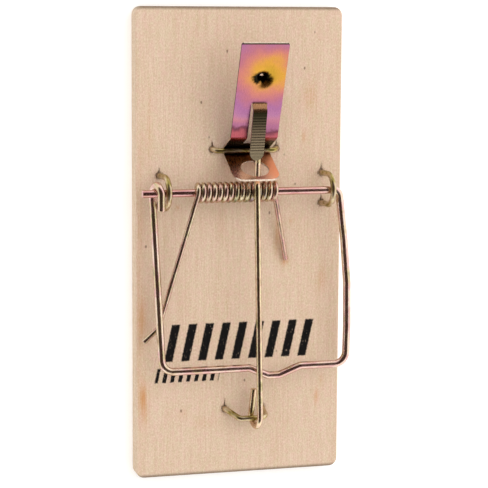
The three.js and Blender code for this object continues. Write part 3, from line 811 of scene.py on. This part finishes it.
# Stains along the board, with a painted shadow beside and at the tip of the spring's resting leg
# in the same tone: x, y, half width, half length, strength
STAINS_AND_SHADOWS = (
    (-21, -32.4, 0.8, 2.8, 0.85),
    (-20.6, -36.5, 0.6, 2.4, 0.4),
    (-21.2, -16, 0.9, 4.2, 0.5),
    (-21.8, -20, 0.8, 22, 0.16),
    (-19.6, 24, 0.7, 9, 0.2),
    (-21.6, 8, 0.8, 14, 0.16),
    (17.6, -34.2, 0.5, 1.8, 0.6),
    (18.6, -30.6, 0.5, 1.2, 0.3),
    (15.4, 31, 1.6, 3.2, 0.3),
    (14.2, 22.5, 0.5, 1.2, 0.4),
    # Painted shadow beside the spring's resting leg, then at its tip
    (8.6, 1.5, 0.9, 4.2, 0.4),
    (10.2, -4.2, 0.8, 0.9, 0.6),
    (11.6, 4.5, 0.5, 0.7, 0.35),
    (18.5, -8.5, 1.2, 2.6, 0.25),
    (-13.5, 8, 0.4, 0.5, 0.5),
    (-12.2, -36.5, 1.2, 1, 0.16),
    (-8, -38.6, 2.6, 1.2, 0.12),
)


def ticks(reach, centres, coarse, close):
    """Grid lines from -reach to reach, fine within a close distance of some centres."""
    values = [-reach]
    while values[-1] < reach - GRID_FINE / 2:
        near = min(abs(values[-1] + GRID_FINE / 2 - c) for c in (-reach, reach, *centres))
        values.append(values[-1] + (GRID_FINE if near < close else coarse))
    values[-1] = reach
    return np.array(values)


def leg_feet():
    """Where the eight staple legs enter the board."""
    half = AXLE_STAPLE_SPAN / 2
    feet = [(x, AXLE.y + side * half) for x, _ in AXLE_STAPLES.values() for side in (1, -1)]
    feet += [(x, CROWN_LEG_Y) for x in CROWN_LEGS_X]
    return feet + [(x, PIVOT.y + PEDAL_LEG_SET) for x in PEDAL_LEGS_X]


def bell(value, width):
    """1 at 0, falling away on both sides."""
    return np.exp(-((value / width) ** 2))


def board_top(reach, radius):
    """The top face's grid, sunk and split round the staple legs, and its masks."""
    feet = leg_feet()
    xs = ticks(reach.x, [x for x, _ in feet], GRID_X, NEAR_X)
    ys = ticks(reach.y, [y for _, y in feet], GRID_Y, NEAR_Y)
    x, y = np.meshgrid(xs, ys, indexing="ij")
    a = np.clip((np.abs(x) - (reach.x - radius)) / radius, 0, 1)
    b = np.clip((np.abs(y) - (reach.y - radius)) / radius, 0, 1)
    rounding = np.maximum(a, b) / np.maximum(np.hypot(a, b), 1e-9)
    corner = (a > 0) & (b > 0)
    x = np.where(corner, np.sign(x) * (reach.x - radius + radius * a * rounding), x)
    y = np.where(corner, np.sign(y) * (reach.y - radius + radius * b * rounding), y)
    z = np.full_like(x, BOARD_TOP)
    crushed, stain = np.zeros_like(x), np.zeros_like(x)
    for i, (foot_x, foot_y) in enumerate(feet):
        split_reach = SPLIT_REACH + SPLIT_MORE * ((i * 7) % 5) / 4
        dx, dy = x - foot_x, y - foot_y
        away = np.hypot(dx, dy)
        along = np.clip(1 - np.abs(dy - SPLIT_AHEAD) / split_reach, 0, 1)
        pit, split = bell(away, PIT_RADIUS), bell(dx, SPLIT_WIDTH) * along
        z -= PIT_DEPTH * pit + SPLIT_DEPTH * split
        z += PILE_HEIGHT * bell(away - PILE_AT, PILE_WIDTH)
        # The pits and splits also carry the painted shade in them
        crushed = np.maximum(np.maximum(crushed, pit), split)
    # Stains, and a painted shadow beside and at the tip of the spring's resting leg
    for at_x, at_y, half_width, half_length, strength in STAINS_AND_SHADOWS:
        spread = ((x - at_x) / half_width) ** 2 + ((y - at_y) / half_length) ** 2
        stain += strength * np.exp(-spread)
    # Painted shade along the top face at both ends of the board
    worn = np.clip((np.abs(y) - reach.y) / END_SHADE_REACH + 1, 0, 1) * END_SHADE_STRENGTH
    return np.stack([x, y, z], -1), crushed, stain, worn


def board_mesh(sizes):
    """The board: its top face, eased edges, plain sawn sides and underside."""
    ease, radius = sizes["board_ease"], sizes["board_corner"] - sizes["board_ease"]
    reach = Vector((RIGHT - ease, BOARD_HIGH.y - ease))
    grid, crushed, stain, worn = board_top(reach, radius)
    top = grid.reshape(-1, 3)
    index = np.arange(len(top)).reshape(grid.shape[:2])
    quads = np.stack([index[:-1, :-1], index[1:, :-1], index[1:, 1:], index[:-1, 1:]], -1)
    faces = quads.reshape(-1, 4).tolist()
    border = [*index[:, 0], *index[-1, 1:], *index[-2::-1, -1], *index[0, -2:0:-1]]
    rim = top[border]
    flat = np.array([reach.x - radius, reach.y - radius])
    out = rim[:, :2] - np.clip(rim[:, :2], -flat, flat)
    out /= np.linalg.norm(out, axis=1)[:, None]
    quarter = np.radians((30, 60, 90))
    rings = [(ease * math.sin(q), BOARD_TOP - ease * (1 - math.cos(q))) for q in quarter]
    rings += [(ease, z) for z in np.linspace(BOARD_TOP - ease, ease, SIDE_ROWS + 1)[1:]]
    rings += [(ease * math.cos(q), ease * (1 - math.sin(q))) for q in quarter]
    rings.append((-UNDER_IN, 0))
    # The top face carries its end strips of painted shade, the rings their end grain
    rows, kinds, ends = [top], [np.zeros(len(top))], [worn.ravel()]
    facing_end = np.clip(np.abs(out[:, 1]) * 2 - 1, 0, 1)
    before, total = np.array(border), len(top)
    for step, (offset, height) in enumerate(rings):
        push = np.full(len(rim), offset)
        if 2 <= step < len(rings) - 2:
            places = (Vector((x, y, height)) * SIDE_WAVE_SCALE for x, y in rim[:, :2])
            push += [SIDE_WAVE * noise.noise(place) for place in places]
        moved = rim[:, :2] + out * np.minimum(push, ease)[:, None]
        rows.append(np.column_stack([moved, np.full(len(rim), height)]))
        kinds.append(np.full(len(rim), 1.0 if step >= 2 else 0.3 * step))
        ends.append(facing_end)
        now = total + np.arange(len(rim))
        turned = np.stack([before, np.roll(before, -1), np.roll(now, -1), now], -1)
        faces += turned[:, ::-1].tolist()
        before, total = now, total + len(rim)
    faces += [(int(q), int(p), total) for p, q in zip(before, np.roll(before, -1))]
    mesh = bpy.data.meshes.new("board")
    mesh.from_pydata((np.concatenate([*rows, np.zeros((1, 3))]) * MM).tolist(), [], faces)
    for name, mask in (("crushed", crushed), ("stain", stain)):
        put(mesh, "FLOAT", name, np.pad(np.clip(mask, 0, 1).ravel(), (0, total + 1 - len(top))))
    put(mesh, "FLOAT", "cut_face", np.concatenate([*kinds, [1]]))
    put(mesh, "FLOAT", "end_grain", np.concatenate([*ends, [0]]))
    return mesh


def outward(mesh, sharp_degrees):
    """Faces pointing out, smooth shading with creases kept."""
    work = bmesh.new()
    work.from_mesh(mesh)
    bmesh.ops.remove_doubles(work, verts=work.verts, dist=1e-7)
    bmesh.ops.recalc_face_normals(work, faces=work.faces)
    work.to_mesh(mesh)
    work.free()
    mesh.shade_smooth()
    mesh.set_sharp_from_angle(angle=math.radians(sharp_degrees))


class SheetLine:
    """A centreline in the YZ plane, measured along its length."""

    def __init__(self, points):
        self.points = np.array([(p.y, p.z) for p in points])
        steps = np.linalg.norm(np.diff(self.points, axis=0), axis=1)
        self.run = np.concatenate([[0], np.cumsum(steps)])
        slopes = np.gradient(self.points, self.run, axis=0)
        slopes /= np.linalg.norm(slopes, axis=1)[:, None]
        self.normals = np.column_stack([slopes[:, 1], -slopes[:, 0]])

    def place(self, s):
        """Points and upward normals at lengths s."""
        at = [np.interp(s, self.run, self.points[:, k]) for k in (0, 1)]
        off = [np.interp(s, self.run, self.normals[:, k]) for k in (0, 1)]
        return np.stack(at, -1), np.stack(off, -1)


def inside_loop(points, loop):
    """Which points lie inside a closed loop."""
    x, y = points[:, 0][:, None], points[:, 1][:, None]
    x0, y0 = loop[:, 0], loop[:, 1]
    x1, y1 = np.roll(x0, -1), np.roll(y0, -1)
    crosses = (y0 > y) != (y1 > y)
    slope = (x1 - x0) / np.where(y1 == y0, 1e-12, y1 - y0)
    return (crosses & (x < x0 + slope * (y - y0))).sum(1) % 2 == 1


def on_sheet(points, loops):
    """Which points lie inside the first loop and outside the others."""
    kept = inside_loop(points, loops[0])
    for loop in loops[1:]:
        kept &= ~inside_loop(points, loop)
    return kept


def round_loop(centre, radius_x, radius_y, count):
    angles = np.linspace(0, 2 * math.pi, count, endpoint=False)
    return np.column_stack([radius_x * np.cos(angles), radius_y * np.sin(angles)]) + centre


def pedal_lines(sizes):
    """The centrelines of the pedal's sheet and of its tongue, and where the tongue's root
    lies along the sheet."""
    lip, foot, _ = lower_plate(sizes)
    radius = valley_radius(sizes)
    fold = PIVOT + Vector((0, *FOLD))
    plate = Vector((0, math.cos(PLATE_SLOPE), math.sin(PLATE_SLOPE)))
    end, root = fold + plate * PLATE_LENGTH, fold + plate * TONGUE_ROOT
    riser = touch_angle(fold, PIVOT, radius, -1)
    valley = arc(PIVOT, radius, riser, foot - 2 * math.pi, 0, 0)
    line = bent([(0, end.y, end.z), (0, fold.y, fold.z, FOLD_BEND), tuple(valley[0])])
    sheet = SheetLine([*line[:-1], *valley, lip])
    tip_y = BAR_TIP[1] - REST_GAP
    over_bar = sizes["locking_wire"] / 2 + REST_GAP + sizes["pedal_sheet"] / 2
    tip_z = locking_run(sizes)[3](tip_y) + over_bar
    over = root + plate
    corners = [
        (0, over.y, over.z),
        (0, root.y, root.z, TONGUE_BEND / 2),
        (0, root.y - TONGUE_HUMP_BACK, root.z + TONGUE_HUMP, TONGUE_BEND),
        (0, tip_y, tip_z),
    ]
    return sheet, SheetLine(bent(corners)), PLATE_LENGTH - TONGUE_ROOT


# The pedal's flat layout, in x and in s, the length from its top edge
SLOT_SHORT, TONGUE_SHORT = 0.35, 0.3
SLOT_END = PLATE_LENGTH + SLOT_BELOW_FOLD - SLOT_SHORT
TONGUE_END = SLOT_END - TONGUE_SHORT
TONGUE_LEFT, TONGUE_RIGHT = TONGUE_X - TONGUE_WIDTH / 2, TONGUE_X + TONGUE_WIDTH / 2
SLOT_LEFT, SLOT_RIGHT = TONGUE_LEFT - TONGUE_KERF, TONGUE_RIGHT + TONGUE_KERF
CUP_FLAT = (CUP_AT[0], PLATE_LENGTH - CUP_AT[1])
THROAT = np.array((CUP_THROAT * 1.25, CUP_THROAT * 0.85))
THROAT_POINTS, THROAT_TEAR, THROAT_WAVES = 28, 0.05, (2.3, 3.1)
CUP_RINGS, CUP_RING_POINTS = (0.1, 0.22, 0.35, 0.5, 0.66, 0.83, 1, 1.12), 36
ROW_STEP, COLUMNS, TOP_CORNER = 0.45, 24, 0.5
TONGUE_COLUMNS, NOSE_STEP = 7, 0.25
CLEAR_OF_CUTS = 0.07
# How the tongue's ridges fade in past its root and out before its tip: start and length
RIDGE_IN, RIDGE_OUT = (2.2, 0.5), (0.8, 0.4)
ROOT_RUN = 1


def sheet_rows(sheet, root):
    """Lengths along the sheet at its bends and between them."""
    rows = set(np.round(sheet.run, 3))
    known = sorted(rows)
    for low, high in zip(known, known[1:]):
        count = math.ceil((high - low) / ROW_STEP) + 1
        rows.update(np.round(np.linspace(low, high, count), 3))
    return np.array(sorted(rows | {round(root, 3)}))


def sheet_outline(rows, total):
    """The blank's outer edge, with small corners at the top and cut corners at the lip."""
    left, right = PEDAL_X - PEDAL_WIDTH / 2, PEDAL_X + PEDAL_WIDTH / 2
    middle = rows[(rows > TOP_CORNER + 0.1) & (rows < total - LIP_CORNER - 0.1)]
    turn = np.linspace(0, math.pi / 2, 9)
    top = [(TOP_CORNER * (1 - math.cos(t)), TOP_CORNER * (1 - math.sin(t))) for t in turn]
    lip = total - LIP_CORNER
    low = [(LIP_CORNER * (1 - math.cos(t)), lip + LIP_CORNER * math.sin(t)) for t in turn]
    outer = [(left + inward, s) for inward, s in top[::-1]]
    outer += [(left, s) for s in middle]
    outer += [(left + inward, s) for inward, s in low]
    outer += [(right - inward, s) for inward, s in low[::-1]]
    outer += [(right, s) for s in middle[::-1]]
    return np.array(outer + [(right - inward, s) for inward, s in top])


def tongue_cut(rows, tongue_rows, root):
    """The slot that the tongue is bent up out of, round the tongue's own edge."""
    half = TONGUE_WIDTH / 2
    slot_rows = rows[(rows > root + 0.05) & (rows < SLOT_END - 0.05)]
    nose = np.linspace(0, math.pi, 17)[::-1]
    nose_x, nose_s = TONGUE_X - half * np.cos(nose), TONGUE_END - half + half * np.sin(nose)
    cut = [(SLOT_LEFT, s) for s in (root, *slot_rows, SLOT_END)]
    cut += [(SLOT_RIGHT, s) for s in (SLOT_END, *slot_rows[::-1], root)]
    cut += [(TONGUE_RIGHT, s) for s in (root, *tongue_rows)]
    cut += zip(nose_x, nose_s)
    return np.array(cut + [(TONGUE_LEFT, s) for s in (*tongue_rows[::-1], root)])


def inner_points(rows, tongue_rows, root):
    """Points inside the sheet: its grid, the tongue's own grid, and rings round the cup."""
    columns = np.linspace(PEDAL_X - PEDAL_WIDTH / 2, PEDAL_X + PEDAL_WIDTH / 2, COLUMNS)
    grid = np.array([(x, s) for x in columns for s in rows])
    grid = grid[np.hypot(*(grid - CUP_FLAT).T) > CUP_RIM + 0.35]
    in_slot = (grid[:, 0] > SLOT_LEFT) & (grid[:, 0] < SLOT_RIGHT)
    in_slot &= (grid[:, 1] > root - 0.02) & (grid[:, 1] < SLOT_END)
    across = np.linspace(TONGUE_LEFT, TONGUE_RIGHT, TONGUE_COLUMNS)[1:-1]
    in_nose = np.arange(TONGUE_END - TONGUE_WIDTH / 2, TONGUE_END - 0.2, NOSE_STEP)
    strip = np.array([(x, s) for x in across for s in (*tongue_rows, *in_nose)])
    radii = [THROAT + (CUP_RIM - THROAT) * share for share in CUP_RINGS]
    rings = [round_loop(CUP_FLAT, *radius, CUP_RING_POINTS) for radius in radii]
    return np.concatenate([grid[~in_slot], strip, *rings])


def pedal_mesh(sizes):
    """The pedal's sheet, laid out flat with its cuts, then folded along its lines."""
    sheet, tongue, root = pedal_lines(sizes)
    total = sheet.run[-1]
    rows = sheet_rows(sheet, root)
    tongue_rows = np.arange(root, TONGUE_END - TONGUE_WIDTH / 2, RIDGE_PITCH / 4)[1:]
    throat = round_loop(CUP_FLAT, *THROAT, THROAT_POINTS)
    throat += THROAT_TEAR * np.sin(np.arange(THROAT_POINTS)[:, None] * THROAT_WAVES)
    hole_at = (LIP_HOLE_X, total - LIP_STRIP - LIP_HOLE_RADIUS)
    hole = round_loop(hole_at, LIP_HOLE_RADIUS, LIP_HOLE_RADIUS, 48)
    cut = tongue_cut(rows, tongue_rows, root)
    loops = [sheet_outline(rows, total), cut, throat, hole]
    inner = inner_points(rows, tongue_rows, root)
    clear = on_sheet(inner, loops)
    for loop in loops:
        gap = np.linalg.norm(inner[:, None] - loop[None], axis=2).min(1)
        clear &= gap > CLEAR_OF_CUTS
    flat = [Vector(point) for point in np.concatenate([*loops, inner[clear]])]
    edges, first = [], 0
    for loop in loops:
        count = len(loop)
        edges += [(first + i, first + (i + 1) % count) for i in range(count)]
        first += count
    verts, _, triangles, *_ = geometry.delaunay_2d_cdt(flat, edges, [], 0, 1e-5)
    verts, triangles = np.array(verts), np.array(triangles)
    triangles = triangles[on_sheet(verts[triangles].mean(1), loops)]

    x, s = verts[:, 0], verts[:, 1]
    places, normals = sheet.place(s)
    away = np.hypot(x - CUP_FLAT[0], s - CUP_FLAT[1])
    sink = 1 - np.clip((away - CUP_THROAT) / (CUP_RIM - CUP_THROAT), 0, 1)
    places -= normals * (CUP_DEPTH * sink**2.4)[:, None]
    share = (s - root) / (TONGUE_END - root)
    tongue_places, tongue_normals = tongue.place(ROOT_RUN + share * (tongue.run[-1] - ROOT_RUN))
    taper = np.clip((s - root - RIDGE_IN[0]) / RIDGE_IN[1], 0, 1)
    taper *= np.clip((TONGUE_END - s - RIDGE_OUT[0]) / RIDGE_OUT[1], 0, 1)
    ridge = RIDGE_HEIGHT * taper * np.cos(2 * math.pi * (s - root) / RIDGE_PITCH)
    tongue_places += tongue_normals * ridge[:, None]
    on_tongue = (x > TONGUE_LEFT - 1e-4) & (x < TONGUE_RIGHT + 1e-4)
    on_tongue &= (s > root - 1e-4) & (s < TONGUE_END + 1e-4)
    places[on_tongue] = tongue_places[on_tongue]
    points = np.column_stack([x, places[:, 0], places[:, 1] + BOARD_TOP]) * MM
    mesh = bpy.data.meshes.new("bait_pedal_sheet")
    mesh.from_pydata(points.tolist(), [], triangles[:, ::-1].tolist())
    put(mesh, "FLOAT_VECTOR", "sheet", np.column_stack([x, s, np.zeros_like(x)]) * MM)
    marked = np.where(on_tongue & (s > root + 0.01), 0.1 + 0.9 * share, 0)
    put(mesh, "FLOAT", "tongue", marked)
    return mesh


# ---- Operators ----


class TrapOperator:
    bl_options = {"REGISTER", "UNDO"}


class MOUSETRAP_OT_board(TrapOperator, bpy.types.Operator):
    """Make the wooden board"""

    bl_idname = "mousetrap.board"
    bl_label = "Board"

    def execute(self, context):
        mesh = board_mesh(millimetres(context.scene.trap_sizes))
        mesh.materials.append(sawn_wood(context.scene.trap_colours))
        mesh.shade_smooth()
        set_on_body(link("wooden_board", mesh), "base", "base_board")
        return {"FINISHED"}


class MOUSETRAP_OT_strike_bar(TrapOperator, bpy.types.Operator):
    """Make the strike bar, one wire with its axle and eye"""

    bl_idname = "mousetrap.strike_bar"
    bl_label = "Strike bar"

    def execute(self, context):
        sizes = millimetres(context.scene.trap_sizes)
        tones = ("#b59c80", "#d8c4a8", "#e0cbbb", "#d2a9a6", "#cbb894", "#aba183")
        rose = ((-4, 40, 0.5), (80, 118, 0.18))
        finish = plated_wire("passivated_strike_wire", tones, "#cfc6b8", (0.16, 0.3), rose)
        line, wire = strike_line(sizes), sizes["strike_wire"]
        made = wire_piece("strike_wire", line, wire, sizes["wire_sides"], finish)
        set_on_body(made, "strike_bar", "strike_bar")
        return {"FINISHED"}


class MOUSETRAP_OT_spring(TrapOperator, bpy.types.Operator):
    """Make the torsion spring, whose coil winds between the board and the strike bar"""

    bl_idname = "mousetrap.spring"
    bl_label = "Torsion spring"

    def execute(self, context):
        sizes = millimetres(context.scene.trap_sizes)
        line, coil_left, coil_right = spring_line(sizes)
        tones = ("#7f8a66", "#b0a584", "#d2c2a6", "#c69e98", "#aea280", "#94828a")
        rose = ((186, 212, 0.22),)
        finish = plated_wire("passivated_spring_wire", tones, "#c8c2b4", (0.18, 0.32), rose)
        wire = wire_piece("coil_spring_wire", line, sizes["spring_wire"], SPRING_SIDES, finish)
        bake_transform(wire)
        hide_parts("torsion_spring")
        return {"FINISHED"}


class MOUSETRAP_OT_staples(TrapOperator, bpy.types.Operator):
    """Make the four staples"""

    bl_idname = "mousetrap.staples"
    bl_label = "Staples"

    def execute(self, context):
        sizes = millimetres(context.scene.trap_sizes)
        tones = ("#5e562a", "#8f803f", "#b8a874", "#cdbaa0", "#978848", "#726d3a")
        finish = plated_wire("passivated_staple_wire", tones, "#bdb49a", (0.24, 0.42))
        lines = {
            node: ("axle_staple_wire", axle_staple_line(*place, sizes))
            for node, place in AXLE_STAPLES.items()
        }
        lines["hold_down_staple"] = ("crown_staple_wire", crown_staple_line(sizes))
        lines["pedal_staple"] = ("pedal_staple_wire", pedal_staple_line(sizes))
        for node, (wire, line) in lines.items():
            made = wire_piece(node + "_wire", line, sizes[wire], sizes["wire_sides"], finish)
            set_on_body(made, "base", node)
        return {"FINISHED"}


class MOUSETRAP_OT_locking_bar(TrapOperator, bpy.types.Operator):
    """Make the locking bar that holds the strike bar down"""

    bl_idname = "mousetrap.locking_bar"
    bl_label = "Locking bar"

    def execute(self, context):
        sizes = millimetres(context.scene.trap_sizes)
        tones = ("#8f8660", "#bcae88", "#dccba8", "#d8b8a4", "#baaa82", "#968f68")
        finish = plated_wire("passivated_locking_wire", tones, "#cfc6b2", (0.16, 0.3))
        line, wire = locking_line(sizes), sizes["locking_wire"]
        made = wire_piece("locking_wire", line, wire, sizes["wire_sides"], finish)
        set_on_body(made, "hold_down_bar", "hold_down_bar")
        return {"FINISHED"}


class MOUSETRAP_OT_pedal(TrapOperator, bpy.types.Operator):
    """Make the folded bait pedal with its tongue and drawn cup"""

    bl_idname = "mousetrap.pedal"
    bl_label = "Bait pedal"

    def execute(self, context):
        sizes = millimetres(context.scene.trap_sizes)
        built = link("pedal_flat", pedal_mesh(sizes))
        for finish in (iridescent_sheet(), sheared_edge()):
            built.data.materials.append(finish)
        wall = built.modifiers.new("sheet_thickness", "SOLIDIFY")
        wall.thickness = sizes["pedal_sheet"] * MM
        wall.offset = 0
        wall.use_even_offset = True
        wall.material_offset_rim = 1
        pedal = settled(built, "bait_pedal_sheet")
        outward(pedal.data, CREASE_DEGREES)
        set_on_body(pedal, "bait_pedal", "bait_pedal")
        return {"FINISHED"}


# Camera at the viewing angle, in metres
CAMERA_AT = Vector((-0.0978, 0.04937, 0.36037))
CAMERA_AXES = (
    (0.9638, 0.00564, 0.26656),
    (0.03001, 0.99113, -0.12948),
    (-0.26493, 0.13279, 0.95508),
)
CAMERA_LENS, CAMERA_SENSOR, CAMERA_NEAR = 129.1, 36, 0.01
# The light tent: its walls as the wires mirror them, its fill, and its dark opening, where
# the camera looks in, with the opening's direction and its edges in degrees
TENT_WALL, TENT_FILL, TENT_DARK = (1.5, 1.47, 1.42), (0.88, 0.855, 0.84), (0.055, 0.03, 0.021)
DARK_TOWARD, DARK_INNER, DARK_OUTER = (-0.38, 0.13, 0.916), 50, 62
KEY_AT, KEY_SIZE, KEY_POWER = (0.26, 0.22, 0.6), 0.6, 1.3
FLOOR_REACH, FLOOR_DROP, FLOOR_GLOW = 3, 0.0001, 0.29
UNIT_SQUARE = ((-1, -1), (1, -1), (1, 1), (-1, 1))


class MOUSETRAP_OT_stage(TrapOperator, bpy.types.Operator):
    """Make the floor, the light and the camera"""

    bl_idname = "mousetrap.stage"
    bl_label = "Stage"

    def execute(self, context):
        scene = context.scene
        floor = bpy.data.meshes.new("floor")
        corners = [(x * FLOOR_REACH, y * FLOOR_REACH, -FLOOR_DROP) for x, y in UNIT_SQUARE]
        floor.from_pydata(corners, [], [(0, 1, 2, 3)])
        paper = bpy.data.materials.new("matt_white_paper")
        paper.use_nodes = True
        shader = paper.node_tree.nodes["Principled BSDF"]
        shader.inputs["Base Color"].default_value = (*scene.trap_colours.floor, 1)
        shader.inputs["Roughness"].default_value = 0.9
        shader.inputs["Emission Color"].default_value = (1, 1, 1, 1)
        shader.inputs["Emission Strength"].default_value = FLOOR_GLOW
        floor.materials.append(paper)
        link("floor", floor)

        world = bpy.data.worlds.new("soft_tent")
        world.use_nodes = True
        world.node_tree.nodes.clear()
        at = Shades(world.node_tree)
        toward = at.out("ShaderNodeTexCoord", output="Generated")
        facing = at.vector("DOT_PRODUCT", toward, DARK_TOWARD, output="Value")
        outer, inner = (math.cos(math.radians(edge)) for edge in (DARK_OUTER, DARK_INNER))
        lit = at.span(facing, outer, inner, 1, 0, "SMOOTHSTEP")
        tent = at.mixed(lit, (*TENT_DARK, 1), (*TENT_WALL, 1))
        mirrored = at.out("ShaderNodeLightPath", output="Is Glossy Ray")
        sky = at.mixed(mirrored, (*TENT_FILL, 1), tent)
        back = at.out("ShaderNodeBackground", {}, {"Color": sky})
        add(at.tree, "ShaderNodeOutputWorld", {}, {"Surface": back})
        scene.world = world

        key = bpy.data.lights.new("key_panel", "AREA")
        key.shape, key.size, key.energy = "DISK", KEY_SIZE, KEY_POWER
        lamp = link("key_panel", key)
        lamp.visible_glossy = False
        lamp.location = KEY_AT
        lamp.rotation_euler = (-lamp.location).to_track_quat("-Z", "Y").to_euler()

        lens = bpy.data.cameras.new("camera")
        lens.lens, lens.sensor_width, lens.clip_start = CAMERA_LENS, CAMERA_SENSOR, CAMERA_NEAR
        camera = link("camera", lens)
        turn = Matrix(CAMERA_AXES).transposed().to_quaternion()
        camera.matrix_world = Matrix.LocRotScale(CAMERA_AT, turn, None)
        scene.camera = camera
        scene.view_settings.view_transform = "Standard"
        return {"FINISHED"}


OPERATORS = (
    MOUSETRAP_OT_board,
    MOUSETRAP_OT_strike_bar,
    MOUSETRAP_OT_spring,
    MOUSETRAP_OT_staples,
    MOUSETRAP_OT_locking_bar,
    MOUSETRAP_OT_pedal,
    MOUSETRAP_OT_stage,
)


class MOUSETRAP_PT_panel(bpy.types.Panel):
    """Lists the trap's pieces"""

    bl_idname = "MOUSETRAP_PT_panel"
    bl_label = "Mouse Trap"
    bl_space_type = "VIEW_3D"
    bl_region_type = "UI"
    bl_category = "Mouse Trap"

    def draw(self, context):
        for group in (context.scene.trap_sizes, context.scene.trap_colours):
            for name in type(group).__annotations__:
                self.layout.prop(group, name)
        for operator in OPERATORS:
            self.layout.operator(operator.bl_idname)


CLASSES = (TrapSizes, TrapColours, *OPERATORS, MOUSETRAP_PT_panel)


def register():
    for each in CLASSES:
        bpy.utils.register_class(each)
    bpy.types.Scene.trap_sizes = bpy.props.PointerProperty(type=TrapSizes)
    bpy.types.Scene.trap_colours = bpy.props.PointerProperty(type=TrapColours)


def unregister():
    del bpy.types.Scene.trap_sizes, bpy.types.Scene.trap_colours
    for each in reversed(CLASSES):
        bpy.utils.unregister_class(each)


def main():
    register()
    bpy.ops.mousetrap.board()
    bpy.ops.mousetrap.strike_bar()
    bpy.ops.mousetrap.spring()
    bpy.ops.mousetrap.staples()
    bpy.ops.mousetrap.locking_bar()
    bpy.ops.mousetrap.pedal()
    bpy.ops.mousetrap.stage()


if __name__ == "__main__":
    main()
